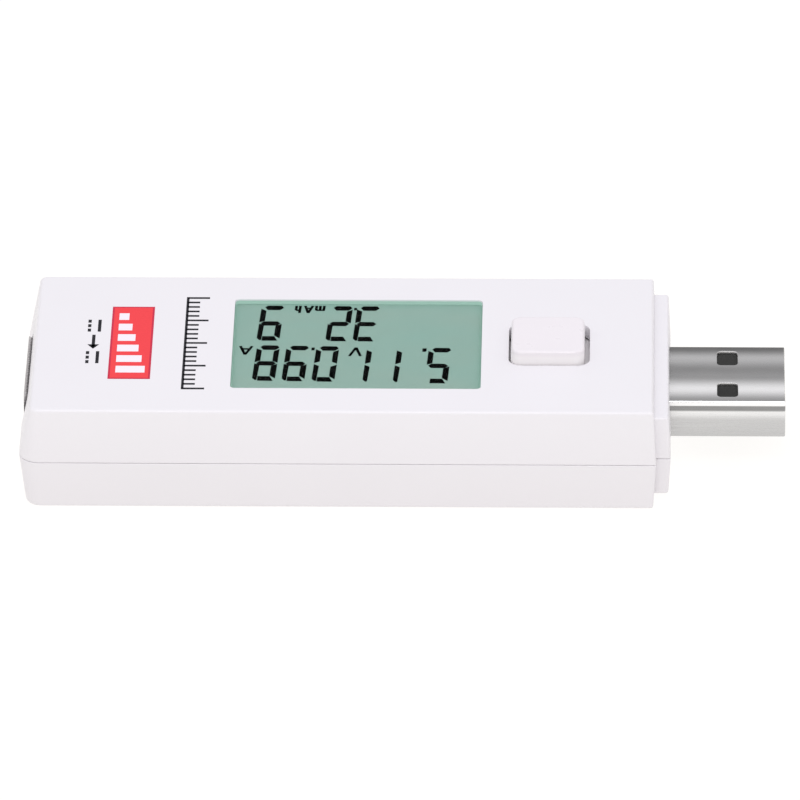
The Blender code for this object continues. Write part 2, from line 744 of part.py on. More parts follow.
def make_board():
    """The board: a notch at each end that a connector sinks into, screw holes and leg slots."""
    x0, x1, y = BOARD_REAR_X, BOARD_FRONT_X, BOARD_HALF_WIDTH
    socket_x = SOCKET_X + SOCKET_LENGTH + 2 * FIT
    socket_y = SOCKET_WIDTH / 2 + 2 * FIT
    plug_x = PLUG_REAR_X - 2 * FIT
    plug_y = PLUG_WIDTH / 2 + 2 * FIT
    outline = [
        (x0, -y),
        (x1, -y),
        (x1, -plug_y),
        (plug_x, -plug_y),
        (plug_x, plug_y),
        (x1, plug_y),
        (x1, y),
        (x0, y),
        (x0, socket_y),
        (socket_x, socket_y),
        (socket_x, -socket_y),
        (x0, -socket_y),
    ]
    board = extruded("circuit_board", [outline], BOARD, (0, 0, CONNECTOR_Z))
    low, high = BOARD_BOTTOM_Z - MM, BOARD_TOP_Z + MM
    for number, place in enumerate(BOSS_PLACES, 1):
        cut(board, cylinder(f"board_hole_{number}", SCREW_RADIUS + 2 * FIT, low, high, place, 16))
    for number, place in enumerate(PEG_PLACES, 1):
        cut(board, cylinder(f"board_peg_hole_{number}", PEG_RADIUS + FIT, low, high, place, 12))
    for number, (x, y_out) in enumerate(LEG_PLACES, 1):
        size = (LEG_LENGTH + 4 * FIT, SHEET + 4 * FIT, high - low)
        cut(board, block(f"board_slot_{number}", size, (x, y_out, CONNECTOR_Z)))
    part(board, BOARD_GREEN)


def shell_legs(shell, x, width):
    """A tab from each side of a connector's shell, over the board's edge and down through it."""
    for side in (-1, 1):
        wall, bend = width / 2 - SHEET / 2, width / 2 + LEG_REACH
        over = BOARD_TOP_Z + 2 * LIE
        profile = [
            (wall, over),
            (bend - SHEET / 2, over),
            (bend - SHEET / 2, BOARD_BOTTOM_Z - 0.5 * MM),
            (bend + SHEET / 2, BOARD_BOTTOM_Z - 0.5 * MM),
            (bend + SHEET / 2, over + SHEET),
            (wall, over + SHEET),
        ]
        outline = [(side * y, z) for y, z in profile]
        name = f"{shell.name}_leg_{side + 2}"
        join(shell, extruded(name, [outline], LEG_LENGTH, (x, 0, 0), (pi / 2, 0, pi / 2)))


def chip(name, size, centre, leads, side_leads=0, under=False):
    """A moulded chip with a row of flat leads along two sides, or along all four."""
    length, width, height = size
    x, y = centre
    direction = -1 if under else 1
    surface = BOARD_BOTTOM_Z - LIE if under else BOARD_TOP_Z + LIE
    body = block(name, size, (x, y, surface + direction * (height / 2 + 0.1 * MM)))
    bevel(body, 0.1 * MM)
    mesh = bpy.data.meshes.new(name + "_leads")
    shape = bmesh.new()
    foot, thick = 0.9 * MM, 0.25 * MM
    rows = [(leads, 0, width, length)]
    if side_leads:
        rows.append((side_leads, pi / 2, length, width))
    for count, turn, across, along in rows:
        pitch = along / (count + 0.5)
        for side in (-1, 1):
            for number in range(count):
                out = side * (across / 2 + foot / 2 - 0.2 * MM)
                spot = ((number - (count - 1) / 2) * pitch, out, 0)
                place = Matrix.Rotation(turn, 4, "Z") @ Matrix.Translation(spot)
                scale = Matrix.Diagonal((pitch * 0.4, foot, thick, 1))
                bmesh.ops.create_cube(shape, size=1.0, matrix=place @ scale)
    shape.to_mesh(mesh)
    shape.free()
    feet = add_object(name + "_leads", mesh, (x, y, surface + direction * thick / 2))
    join(body, feet)
    part(body, CHIP_EPOXY)


def component(name, size, centre, surface, under=False, round_edge=0.08 * MM):
    """A plain soldered part that stands on the board, or hangs under it."""
    direction = -1 if under else 1
    start = BOARD_BOTTOM_Z - LIE if under else BOARD_TOP_Z + LIE
    piece = block(name, size, (*centre, start + direction * size[2] / 2))
    bevel(piece, round_edge)
    part(piece, surface)


def make_components():
    def mm(*numbers):
        return tuple(number * MM for number in numbers)

    chip("controller_chip", mm(7.0, 7.0, 1.3), mm(-6.0, 0.0), 8, 8)
    chip("memory_chip", mm(4.9, 3.9, 1.4), mm(-14.0, 7.6), 4, under=True)
    chip("voltage_regulator", mm(2.9, 1.6, 1.1), mm(12.0, -8.6), 3, under=True)
    component("shunt_resistor", mm(3.2, 6.3, 0.7), mm(-20.0, 4.0), CHIP_EPOXY, under=True)
    component("crystal", mm(3.2, 1.5, 0.9), mm(2.0, 6.4), STEEL_NICKEL, under=True)
    component("capacitor_1", mm(3.2, 1.6, 1.6), mm(17.5, -9.4), CERAMIC, under=True)
    component("capacitor_2", mm(2.0, 1.25, 0.9), mm(6.5, 6.4), CERAMIC, under=True)
    component("capacitor_3", mm(2.0, 1.25, 0.9), mm(-8.5, 7.6), CERAMIC, under=True)
    component("resistor_1", mm(2.0, 1.25, 0.5), mm(-19.5, -5.0), CHIP_EPOXY, under=True)
    component("resistor_2", mm(2.0, 1.25, 0.5), mm(-15.5, -5.0), CHIP_EPOXY, under=True)


def make_board_screws():
    """Pan-head self-tapping screws, up through the board into the top cover's bosses."""
    under_head = BOARD_BOTTOM_Z - LIE
    head, head_radius, length = 0.8 * MM, 1.5 * MM, 4.6 * MM
    for number, place in enumerate(BOSS_PLACES, 1):
        profile = [
            (0, length),
            (0.45 * MM, length),
            (SCREW_RADIUS, length - 0.8 * MM),
            (SCREW_RADIUS, 0),
            (head_radius, 0),
            (head_radius, -0.4 * MM),
            (head_radius - 0.5 * MM, -head),
            (0, -head),
        ]
        screw = turned(f"board_screw_{number}", profile, (*place, under_head), 20)
        smooth(screw)
        for turn in (0, 1):
            long, narrow = 1.6 * MM, 0.35 * MM
            size = (narrow, long, 0.8 * MM) if turn else (long, narrow, 0.8 * MM)
            centre = (*place, under_head - head)
            cut(screw, block(f"screw_cross_{number}_{turn}", size, centre))
        part(screw, SCREW_STEEL)


# ---------------------------------------------------------------- USB-A plug and receptacle


def tube_shell(name, width, height, stations):
    """A stamped sheet-metal tube towards +X; each station is its x and how far it flares."""
    rings = []
    for x, flare in stations:
        outline = rectangle(width + 2 * flare, height + 2 * flare, 0.6 * MM + flare, 4)
        rings.append([(x, y, z) for y, z in outline])
    shell = loft(name, rings, closed=False, location=(0, 0, CONNECTOR_Z))
    sheet = shell.modifiers.new("Sheet", "SOLIDIFY")
    sheet.thickness = SHEET
    sheet.offset = -1
    sheet.use_even_offset = True
    return shell


def make_plug():
    shell = tube_shell("plug_shell", PLUG_WIDTH, PLUG_HEIGHT, [(PLUG_REAR_X, 0), (TIP_X, 0)])
    for number, side in enumerate((-1, 1), 1):
        x = TIP_X - LATCH_FROM_TIP - LATCH_LENGTH / 2
        outline = rectangle(LATCH_LENGTH, LATCH_WIDTH, 0.45 * MM)
        place = (x, side * LATCH_Y, CONNECTOR_Z)
        cut(shell, extruded(f"latch_window_{number}", [outline], PLUG_HEIGHT + MM, place))
    shell_legs(shell, PLUG_LEG_X, PLUG_WIDTH)
    smooth(shell)
    part(shell, STEEL_NICKEL)

    inner_y = PLUG_WIDTH / 2 - SHEET - LIE
    floor_z = CONNECTOR_Z - PLUG_HEIGHT / 2 + SHEET + LIE
    roof_z = CONNECTOR_Z + PLUG_HEIGHT / 2 - SHEET - LIE
    tongue_z = roof_z - 1.9 * MM
    block_x = PLUG_REAR_X + 7.2 * MM
    profile = [
        (PLUG_REAR_X + 0.2 * MM, roof_z),
        (TIP_X - 0.5 * MM, roof_z),
        (TIP_X - 0.3 * MM, roof_z - 0.3 * MM),
        (TIP_X - 0.3 * MM, tongue_z + 0.2 * MM),
        (TIP_X - 0.5 * MM, tongue_z),
        (block_x, tongue_z),
        (block_x, floor_z),
        (PLUG_REAR_X + 0.2 * MM, floor_z),
    ]
    width = 2 * (inner_y - 0.25 * MM)
    insulator = extruded("plug_insulator", [profile], width, (0, 0, 0), (pi / 2, 0, 0))
    foot_z = BOARD_TOP_Z + LIE
    for number, y in enumerate(CONTACT_YS, 1):
        slot = CONTACT_WIDTH / 2 + LIE
        low = (PLUG_REAR_X - MM, y - slot, tongue_z - 0.2 * MM)
        high = (TIP_X - 1.2 * MM, y + slot, tongue_z + 0.3 * MM)
        rise = (PLUG_REAR_X + 1.1 * MM, y + slot, foot_z + LIE + CONTACT)
        cut(insulator, span(f"plug_contact_slot_{number}", low, high))
        cut(insulator, span(f"plug_contact_rise_{number}", low, rise))
    part(insulator, CONNECTOR_BLACK)

    blade_z = tongue_z + 0.3 * MM - LIE - CONTACT
    for number, y in enumerate(CONTACT_YS, 1):
        front_x = TIP_X - (2.4 if number in (2, 3) else 1.4) * MM
        profile = [
            (PLUG_REAR_X - 2.0 * MM, foot_z),
            (PLUG_REAR_X, foot_z),
            (PLUG_REAR_X + 0.5 * MM, blade_z),
            (front_x, blade_z),
            (front_x, blade_z + CONTACT),
            (PLUG_REAR_X + 0.7 * MM, blade_z + CONTACT),
            (PLUG_REAR_X + 0.2 * MM, foot_z + CONTACT),
            (PLUG_REAR_X - 2.0 * MM, foot_z + CONTACT),
        ]
        name = f"plug_contact_{number}"
        contact = extruded(name, [profile], CONTACT_WIDTH, (0, y, 0), (pi / 2, 0, 0))
        part(contact, CONTACT_GOLD)


def make_receptacle():
    rear, front = SOCKET_X + SOCKET_LENGTH, SOCKET_X
    flare_length = 0.6 * MM
    stations = [
        (front - MM, SOCKET_FLARE * (flare_length + MM) / flare_length),
        (front + flare_length, 0),
        (rear, 0),
    ]
    shell = tube_shell("receptacle_shell", SOCKET_WIDTH, SOCKET_HEIGHT, stations)
    cut(shell, span("mouth_trim", (front - 3 * MM, -MM * 12, -MM), (front, MM * 12, MM * 14)))
    for number, (side, up) in enumerate(((-1, -1), (1, -1), (-1, 1), (1, 1)), 1):
        spring_finger(shell, number, side * 3.2 * MM, up)
    shell_legs(shell, SOCKET_LEG_X, SOCKET_WIDTH)
    smooth(shell)
    part(shell, STEEL_NICKEL)

    inner_y = SOCKET_WIDTH / 2 - SHEET - 2 * LIE
    floor_z = CONNECTOR_Z - SOCKET_HEIGHT / 2 + SHEET + 2 * LIE
    roof_z = CONNECTOR_Z + SOCKET_HEIGHT / 2 - SHEET - 2 * LIE
    wall_x = rear - 2.8 * MM
    height, width = roof_z - floor_z, 2 * inner_y - 0.4 * MM
    centre = ((wall_x + rear) / 2, 0, (floor_z + roof_z) / 2)
    insulator = block("receptacle_insulator", (rear - wall_x, width, height), centre)
    tongue_low = CONNECTOR_Z + 0.15 * MM
    tongue_high = tongue_low + TONGUE
    tongue = span(
        "receptacle_tongue",
        (front + 1.0 * MM, -TONGUE_WIDTH / 2, tongue_low),
        (wall_x + 0.5 * MM, TONGUE_WIDTH / 2, tongue_high),
    )
    bevel(tongue, 0.2 * MM)
    join(insulator, tongue)
    foot_z = BOARD_TOP_Z + LIE
    for number, y in enumerate(CONTACT_YS, 1):
        slot = CONTACT_WIDTH / 2 + LIE
        low = (front + 1.8 * MM, y - slot, tongue_low - MM)
        high = (rear + MM, y + slot, tongue_low + 0.35 * MM)
        rise_low = (rear - 1.1 * MM, y - slot, tongue_low - MM)
        rise = (rear + MM, y + slot, foot_z + LIE + CONTACT)
        cut(insulator, span(f"socket_contact_slot_{number}", low, high))
        cut(insulator, span(f"socket_contact_rise_{number}", rise_low, rise))
    part(insulator, CONNECTOR_BLACK)

    strip_z = tongue_low + 0.35 * MM - LIE - CONTACT
    for number, y in enumerate(CONTACT_YS, 1):
        bow_x = front + 4.2 * MM
        profile = [
            (rear + 2.0 * MM, foot_z + CONTACT),
            (rear - 0.2 * MM, foot_z + CONTACT),
            (rear - 0.7 * MM, strip_z + CONTACT),
            (bow_x + 2.6 * MM, strip_z + CONTACT),
            (bow_x, strip_z - 0.45 * MM + CONTACT),
            (bow_x - 1.4 * MM, strip_z + CONTACT),
            (bow_x - 1.4 * MM, strip_z),
            (bow_x, strip_z - 0.45 * MM),
            (bow_x + 2.6 * MM, strip_z),
            (rear - 0.5 * MM, strip_z),
            (rear, foot_z),
            (rear + 2.0 * MM, foot_z),
        ]
        name = f"receptacle_contact_{number}"
        contact = extruded(name, [profile], CONTACT_WIDTH, (0, y, 0), (pi / 2, 0, 0))
        part(contact, CONTACT_GOLD)


def spring_finger(shell, number, y, up):
    """A window in the shell and, from its front edge, a finger that bows in towards a plug."""
    front = SOCKET_X + 2.2 * MM
    length, width, bow = 7.0 * MM, 2.2 * MM, 0.35 * MM
    sheet_z = up * (SOCKET_HEIGHT / 2 - SHEET / 2)
    window = block(
        f"finger_window_{number}",
        (length, width + 8 * FIT, 4 * SHEET),
        (front + length / 2, y, CONNECTOR_Z + sheet_z),
    )
    cut(shell, window)
    tip = front + length - 1.2 * MM
    reach = tip - front
    centre_line = [
        (front - 0.2 * MM, 0.0),
        (front + 0.35 * reach, bow * 0.5),
        (front + 0.75 * reach, bow),
        (tip, bow * 0.4),
    ]
    half = SHEET / 2 - 0.02 * MM
    outer = [(x, sheet_z - up * (drop - half)) for x, drop in centre_line]
    inner = [(x, sheet_z - up * (drop + half)) for x, drop in centre_line[::-1]]
    name = f"finger_{number}"
    finger = extruded(name, [outer + inner], width, (0, y, CONNECTOR_Z), (pi / 2, 0, 0))
    join(shell, finger)


make_top_cover()
make_bottom_cover()
make_display()
make_button()
make_switch()
make_board()
make_components()
make_board_screws()
make_plug()
make_receptacle()
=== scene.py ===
import json
from math import cos, pi, radians, sin

import bmesh
import bpy
from mathutils import Matrix, Vector


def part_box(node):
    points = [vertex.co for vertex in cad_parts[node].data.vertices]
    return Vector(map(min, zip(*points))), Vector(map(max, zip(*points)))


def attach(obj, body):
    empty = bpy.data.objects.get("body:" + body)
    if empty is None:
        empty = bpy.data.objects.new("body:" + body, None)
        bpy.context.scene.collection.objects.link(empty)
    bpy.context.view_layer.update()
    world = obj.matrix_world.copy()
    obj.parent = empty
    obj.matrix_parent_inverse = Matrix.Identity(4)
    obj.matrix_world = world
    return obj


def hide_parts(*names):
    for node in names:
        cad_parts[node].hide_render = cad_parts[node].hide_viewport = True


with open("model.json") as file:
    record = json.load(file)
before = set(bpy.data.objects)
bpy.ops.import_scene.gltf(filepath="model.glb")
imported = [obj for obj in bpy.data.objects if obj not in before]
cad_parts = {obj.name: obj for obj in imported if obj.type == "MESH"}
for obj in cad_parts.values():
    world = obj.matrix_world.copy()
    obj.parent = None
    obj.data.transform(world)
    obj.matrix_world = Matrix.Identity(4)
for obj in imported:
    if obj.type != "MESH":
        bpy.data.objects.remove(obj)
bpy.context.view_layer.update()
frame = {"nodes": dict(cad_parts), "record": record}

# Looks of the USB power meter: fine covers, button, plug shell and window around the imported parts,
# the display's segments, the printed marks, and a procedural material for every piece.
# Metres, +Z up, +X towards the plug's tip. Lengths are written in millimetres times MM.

MM = 0.001

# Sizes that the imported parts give
BOTTOM_LOW, BOTTOM_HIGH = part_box("bottom_cover")
LENS_LOW, LENS_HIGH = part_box("display_lens")
CAP_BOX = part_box("button_cap")
PLUNGER_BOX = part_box("switch_plunger")
PLUG_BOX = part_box("plug_shell")
BOARD_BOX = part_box("circuit_board")

FACE_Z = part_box("top_cover")[1].z
FILM_TOP_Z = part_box("lcd_front_polariser")[1].z
GLUE_TOP_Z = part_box("lens_adhesive")[1].z
PARTING_Z = FACE_Z - 6.4 * MM
PARTING_GAP = 0.02 * MM
REAR_X = BOTTOM_LOW.x
NOSE_X = BOTTOM_HIGH.x
BODY_X = NOSE_X - 1.6 * MM
HALF_WIDTH = BOTTOM_HIGH.y
CONNECTOR_Z = (BOARD_BOX[0].z + BOARD_BOX[1].z) / 2

# The covers' shape: how far each side leans in, and the radii of their edges
TOP_DRAFT = {"rear": 1.3 * MM, "front": 0.3 * MM, "side": 0.5 * MM}
BOTTOM_DRAFT = {"rear": 0.7 * MM, "front": 0.3 * MM, "side": 0.4 * MM}
REAR_CORNER = 2.3 * MM
FRONT_CORNER = 0.22 * MM
TOP_EDGE = 0.35 * MM
BOTTOM_EDGE = 0.45 * MM
PARTING_EDGE = 0.12 * MM
WALL = 1.5 * MM
NOSE_HALF_WIDTH = 13.8 * MM
NOSE_TOP_Z = FACE_Z - 1.35 * MM
NOSE_BOTTOM_Z = 1.2 * MM
NOSE_TOP_EDGE = 0.25 * MM
NOSE_BOTTOM_EDGE = 0.4 * MM

# Openings in the display face
FIT = 0.1 * MM
OPENING_EDGE = 0.05 * MM
WINDOW_CORNER = 0.5 * MM
WINDOW_LEDGE = 0.5 * MM
POCKET_REACH = (1.475 * MM, 1.7 * MM)
HOLE_CORNER = 1.4 * MM
CAP_REACH = 0.68 * MM

# Button cap
CAP_LENGTH = 8.1 * MM
CAP_WIDTH = 8.85 * MM
CAP_CORNER = 1.1 * MM
CAP_DRAFT = 0.06 * MM
CAP_FAR_LEAN = 0.95 * MM
CAP_EDGE = 0.3 * MM
CAP_WALL = 0.9 * MM

# USB-A shells
SHEET = 0.3 * MM
PLUG_WIDTH = 12.0 * MM
PLUG_HEIGHT = 4.5 * MM
LATCH_FROM_TIP = 5.2 * MM
LATCH_LENGTH = 2.25 * MM
LATCH_WIDTH = 3.0 * MM
LATCH_Y = 3.45 * MM
PLUG_CORNER = 0.18 * MM
PLUG_BOTTOM_Z = CONNECTOR_Z - PLUG_HEIGHT / 2
SOCKET_WIDTH = 13.1 * MM
SOCKET_HEIGHT = 5.7 * MM
SOCKET_FLARE = 0.25 * MM


# ---------------------------------------------------------------- mesh tools


def new_object(name, mesh):
    obj = bpy.data.objects.new(name, mesh)
    bpy.context.scene.collection.objects.link(obj)
    return obj


def rounded_rectangle(x0, x1, y0, y1, radii, steps=8):
    """Points round a rectangle, with a radius each for corners x0y0, x1y0, x1y1 and x0y1."""
    corners = [(x0, y0, 1, 1), (x1, y0, -1, 1), (x1, y1, -1, -1), (x0, y1, 1, -1)]
    points = []
    for number, ((x, y, inward_x, inward_y), radius) in enumerate(zip(corners, radii)):
        centre_x, centre_y = x + inward_x * radius, y + inward_y * radius
        for step in range(steps + 1):
            angle = pi + (number + step / steps) * pi / 2
            points.append((centre_x + radius * cos(angle), centre_y + radius * sin(angle)))
    return points


def centred(length, width, radius, steps=8):
    x, y = length / 2, width / 2
    return rounded_rectangle(-x, x, -y, y, [radius] * 4, steps)


def loft(name, rings, looped=False):
    """A closed skin through rings of as many points each; looped joins the last to the first."""
    mesh = bpy.data.meshes.new(name)
    shape = bmesh.new()
    made = [[shape.verts.new(point) for point in ring] for ring in rings]
    following = made[1:] + made[:1] if looped else made[1:]
    count = len(made[0])
    for lower, upper in zip(made, following):
        for i in range(count):
            j = (i + 1) % count
            shape.faces.new((lower[i], lower[j], upper[j], upper[i]))
    if not looped:
        shape.faces.new(made[0][::-1])
        shape.faces.new(made[-1])
    bmesh.ops.recalc_face_normals(shape, faces=shape.faces)
    shape.to_mesh(mesh)
    shape.free()
    return new_object(name, mesh)


def box(name, low, high):
    """A plain block between two opposite corners, used as a cutter or an inner rib."""
    rings = [
        [(low[0], low[1], z), (high[0], low[1], z), (high[0], high[1], z), (low[0], high[1], z)]
        for z in (low[2], high[2])
    ]
    return loft(name, rings)


def prism(name, outline, low, high, axis):
    """A flat outline made thick along X, Y or Z."""
    place = {
        "x": lambda a, b, c: (c, a, b),
        "y": lambda a, b, c: (a, c, b),
        "z": lambda a, b, c: (a, b, c),
    }[axis]
    return loft(name, [[place(a, b, c) for a, b in outline] for c in (low, high)])


def boolean(obj, other, operation):
    """Cuts or joins another shape, and removes that shape."""
    modifier = obj.modifiers.new(other.name, "BOOLEAN")
    modifier.operation = operation
    modifier.object = other
    graph = bpy.context.evaluated_depsgraph_get()
    made = bpy.data.meshes.new_from_object(obj.evaluated_get(graph))
    old = obj.data
    obj.modifiers.clear()
    obj.data = made
    bpy.data.meshes.remove(old)
    bpy.data.objects.remove(other, do_unlink=True)


def cut(obj, *cutters):
    for cutter in cutters:
        boolean(obj, cutter, "DIFFERENCE")


def join(obj, *others):
    for other in others:
        boolean(obj, other, "UNION")


def crisp(obj, angle=35):
    """Smooth shading with flat faces kept flat and sharp edges kept sharp."""
    obj.data.shade_smooth()
    obj.data.set_sharp_from_angle(angle=radians(angle))
    weighted = obj.modifiers.new("Flat faces first", "WEIGHTED_NORMAL")
    weighted.keep_sharp = True
    weighted.weight = 60


def finish_piece(obj, name, body, surface, slot=None, stands_for=()):
    """Names a piece, gives it its material and puts it on its body."""
    obj.name = name
    obj.data.name = name
    obj.data.materials.clear()
    obj.data.materials.append(surface)
    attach(obj, body)
    if stands_for:
        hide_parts(*stands_for)


# ---------------------------------------------------------------- material tools


class Surface:
    """A Principled material and the few node patterns that the pieces share."""

    def __init__(self, name, roughness=0.4, metallic=0.0, specular=0.5, alpha=1.0):
        self.material = bpy.data.materials.new(name)
        self.material.use_nodes = True
        self.tree = self.material.node_tree
        self.shader = self.tree.nodes["Principled BSDF"]
        self.shader.inputs["Roughness"].default_value = roughness
        self.shader.inputs["Metallic"].default_value = metallic
        self.shader.inputs["Specular IOR Level"].default_value = specular
        self.shader.inputs["IOR"].default_value = 1.5
        self.shader.inputs["Alpha"].default_value = alpha
        self.place = self.node("ShaderNodeTexCoord").outputs["Object"]
        self.relief = None

    def node(self, kind, **settings):
        made = self.tree.nodes.new(kind)
        for name, value in settings.items():
            setattr(made, name, value)
        return made

    def link(self, output, target):
        self.tree.links.new(output, target)

    def noise(self, size, detail=3.0, stretch=(1, 1, 1)):
        """Noise whose features are about this size, in metres, stretched along the axes given."""
        mapping = self.node("ShaderNodeMapping")
        mapping.inputs["Scale"].default_value = [1 / (size * s) for s in stretch]
        self.link(self.place, mapping.inputs["Vector"])
        noise = self.node("ShaderNodeTexNoise")
        noise.inputs["Scale"].default_value = 1.0
        noise.inputs["Detail"].default_value = detail
        self.link(mapping.outputs["Vector"], noise.inputs["Vector"])
        return noise.outputs["Fac"]

    def remap(self, value, low, high, start=0.3, end=0.7):
        """A value from start to end, spread over low to high."""
        made = self.node("ShaderNodeMapRange")
        limits = {"From Min": start, "From Max": end, "To Min": low, "To Max": high}
        for name, number in limits.items():
            made.inputs[name].default_value = number
        self.link(value, made.inputs["Value"])
        return made.outputs["Result"]

    def math(self, operation, first, second):
        made = self.node("ShaderNodeMath", operation=operation)
        for socket, value in zip(made.inputs, (first, second)):
            if isinstance(value, (int, float)):
                socket.default_value = value
            else:
                self.link(value, socket)
        return made.outputs["Value"]

    def mix(self, share, first, second, blend="MIX"):
        """Mixes two colours, each a tuple or another node's output."""
        made = self.node("ShaderNodeMix", data_type="RGBA", blend_type=blend)
        sockets = [made.inputs[i] for i in (0, 6, 7)]
        for socket, value in zip(sockets, (share, first, second)):
            if isinstance(value, (int, float)):
                socket.default_value = value
            elif isinstance(value, tuple):
                socket.default_value = (*value, 1.0)
            else:
                self.link(value, socket)
        return made.outputs[2]

    def ramp(self, value, stops, interpolation="EASE"):
        """Colours by position; each stop is its place and its colour or grey value."""
        made = self.node("ShaderNodeValToRGB")
        made.color_ramp.interpolation = interpolation
        elements = made.color_ramp.elements
        while len(elements) < len(stops):
            elements.new(0.5)
        for element, (position, colour) in zip(elements, stops):
            element.position = position
            element.color = (*colour, 1.0) if isinstance(colour, tuple) else (colour,) * 3 + (1.0,)
        self.link(value, made.inputs["Fac"])
        return made.outputs["Color"]

    def axis(self, name, source=None):
        """One coordinate of the point, or of another vector."""
        made = self.node("ShaderNodeSeparateXYZ")
        self.link(source or self.place, made.inputs["Vector"])
        return made.outputs[name]

    def colour(self, value):
        if isinstance(value, tuple):
            self.shader.inputs["Base Color"].default_value = (*value, 1.0)
        else:
            self.link(value, self.shader.inputs["Base Color"])

    def roughness(self, value):
        self.link(value, self.shader.inputs["Roughness"])

    def bump(self, value, depth):
        """Adds relief of about this depth, in metres."""
        made = self.node("ShaderNodeBump")
        made.inputs["Strength"].default_value = 1.0
        made.inputs["Distance"].default_value = depth
        self.link(value, made.inputs["Height"])
        if self.relief:
            self.link(self.relief, made.inputs["Normal"])
        self.relief = made.outputs["Normal"]
        self.link(self.relief, self.shader.inputs["Normal"])


def spread(colour, amount):
    """A colour and how far it varies: a darker and a lighter one."""
    return tuple(tuple(max(0.0, c * (1 + sign * amount)) for c in colour) for sign in (-1, 1))


def moulded(name, colour, roughness, variation=0.012, grain=0.0015 * MM, size=0.22 * MM):
    """Moulded plastic: faint flow in the colour, a spark-eroded grain and handling marks."""
    made = Surface(name, roughness)
    dark, light = spread(colour, variation)
    made.colour(made.mix(made.noise(9 * MM, 2), dark, light))
    marks = made.noise(2.6 * MM, 5, (1, 2.4, 1))
    made.roughness(made.remap(marks, roughness - 0.05, roughness + 0.08))
    made.bump(made.noise(size, 2), grain)
    return made


def metal(name, colour, roughness, brushed=(6, 1, 1), variation=0.1):
    """Plated or rolled metal: streaks along one direction and small stains."""
    made = Surface(name, roughness, metallic=1.0)
    dark, light = spread(colour, variation)
    streaks = made.noise(0.12 * MM, 3, brushed)
    made.colour(made.mix(made.noise(1.8 * MM, 4), dark, light))
    made.roughness(made.remap(streaks, roughness - 0.07, roughness + 0.1))
    made.bump(streaks, 0.0008 * MM)
    return made


# ---------------------------------------------------------------- materials


WHITE = (0.862, 0.845, 0.872)
BUTTON_WHITE = (0.872, 0.832, 0.862)
LCD_GREEN = (0.335, 0.527, 0.452)
LENS_EDGE_GREEN = (0.13, 0.2, 0.17)


def white_abs():
    """The covers: white, with painted shade that makes them a little darker and warmer towards the
    underside.
    """
    made = Surface("white_abs", 0.36)
    dark, light = spread(WHITE, 0.012)
    flow = made.mix(made.noise(9 * MM, 2), dark, light)
    # Painted shade: the colour grows darker and warmer towards the bottom, standing in for the lower
    # sides getting less light.
    low = made.remap(made.axis("Z"), 1.0, 0.0, 0.0, 11 * MM)
    made.colour(made.mix(low, flow, (0.955, 0.945, 0.945), "MULTIPLY"))
    marks = made.noise(2.6 * MM, 5, (1, 2.4, 1))
    made.roughness(made.remap(marks, 0.31, 0.44))
    made.bump(made.noise(0.22 * MM, 2), 0.0015 * MM)
    return made.material


def button_abs():
    """The button: the covers' white, with painted light that makes its sides lighter than its top."""
    made = Surface("button_abs", 0.3)
    dark, light = spread(BUTTON_WHITE, 0.01)
    flow = made.mix(made.noise(5 * MM, 2), dark, light)
    # Painted light: the cap's sides, its front face among them, are lighter than its top to make up
    # for the shade they get.
    down = made.remap(made.axis("Z"), 1.0, 0.0, FACE_Z + 0.8 * MM, FACE_Z + 1.5 * MM)
    made.colour(made.mix(down, flow, (0.95, 0.925, 0.93)))
    made.roughness(made.remap(made.noise(2 * MM, 5), 0.26, 0.38))
    made.bump(made.noise(0.22 * MM, 2), 0.001 * MM)
    return made.material


def clear_pmma():
    """The lens: nearly clear, with hair scratches that only its gloss shows."""
    made = Surface("clear_pmma", 0.08, specular=0.15, alpha=0.04)
    made.colour(made.mix(made.noise(6 * MM), (0.01, 0.015, 0.013), (0.015, 0.02, 0.018)))
    scratches = made.noise(0.08 * MM, 2, (30, 1, 1))
    made.roughness(made.remap(scratches, 0.05, 0.16))
    return made.material


def lens_edge_painted_glow():
    """The lens's sawn side faces, with painted light: coloured and glowing in the display's green, in
    place of the display seen through them.
    """
    made = Surface("lens_edge_painted_glow", 0.5, specular=0.0)
    dark, light = spread(LENS_EDGE_GREEN, 0.04)
    made.colour(made.mix(made.noise(0.4 * MM), dark, light))
    made.bump(made.noise(0.1 * MM), 0.002 * MM)
    # Painted light: the side faces glow in the display's green, though they are no lamp.
    made.shader.inputs["Emission Color"].default_value = (*LCD_GREEN, 1.0)
    made.shader.inputs["Emission Strength"].default_value = 0.8
    return made.material


def optical_adhesive():
    """The glue sheet: all but invisible, with a faint tint."""
    made = Surface("optical_adhesive", 0.2, specular=0.0, alpha=0.01)
    made.colour(made.mix(made.noise(4 * MM), (0.02, 0.03, 0.026), (0.03, 0.04, 0.036)))
    made.roughness(made.remap(made.noise(2 * MM), 0.15, 0.3))
    return made.material


def polariser_film():
    """What shows of the display between its segments: grey-green, faintly mottled."""
    made = Surface("polariser_film", 0.42, specular=0.1)
    clouds = made.noise(7 * MM, 2, (1.8, 0.7, 1))
    dark = tuple(c * s for c, s in zip(LCD_GREEN, (0.96, 1.005, 1.0)))
    light = tuple(c * s for c, s in zip(LCD_GREEN, (1.06, 0.99, 0.985)))
    cells = made.noise(0.5 * MM, 2)
    base = made.mix(made.remap(clouds, 0, 1), dark, light)
    made.colour(made.mix(made.remap(cells, 0.0, 0.06), base, (0.4, 0.58, 0.51)))
    made.roughness(made.remap(cells, 0.36, 0.5))
    made.bump(cells, 0.0006 * MM)
    return made.material


def lcd_black():
    """Driven liquid crystal, which lets almost no light through."""
    made = Surface("lcd_black", 0.6, specular=0.0)
    made.colour(made.mix(made.noise(0.7 * MM), (0.0, 0.0, 0.0), (0.004, 0.004, 0.004)))
    made.roughness(made.remap(made.noise(0.3 * MM), 0.5, 0.7))
    return made.material


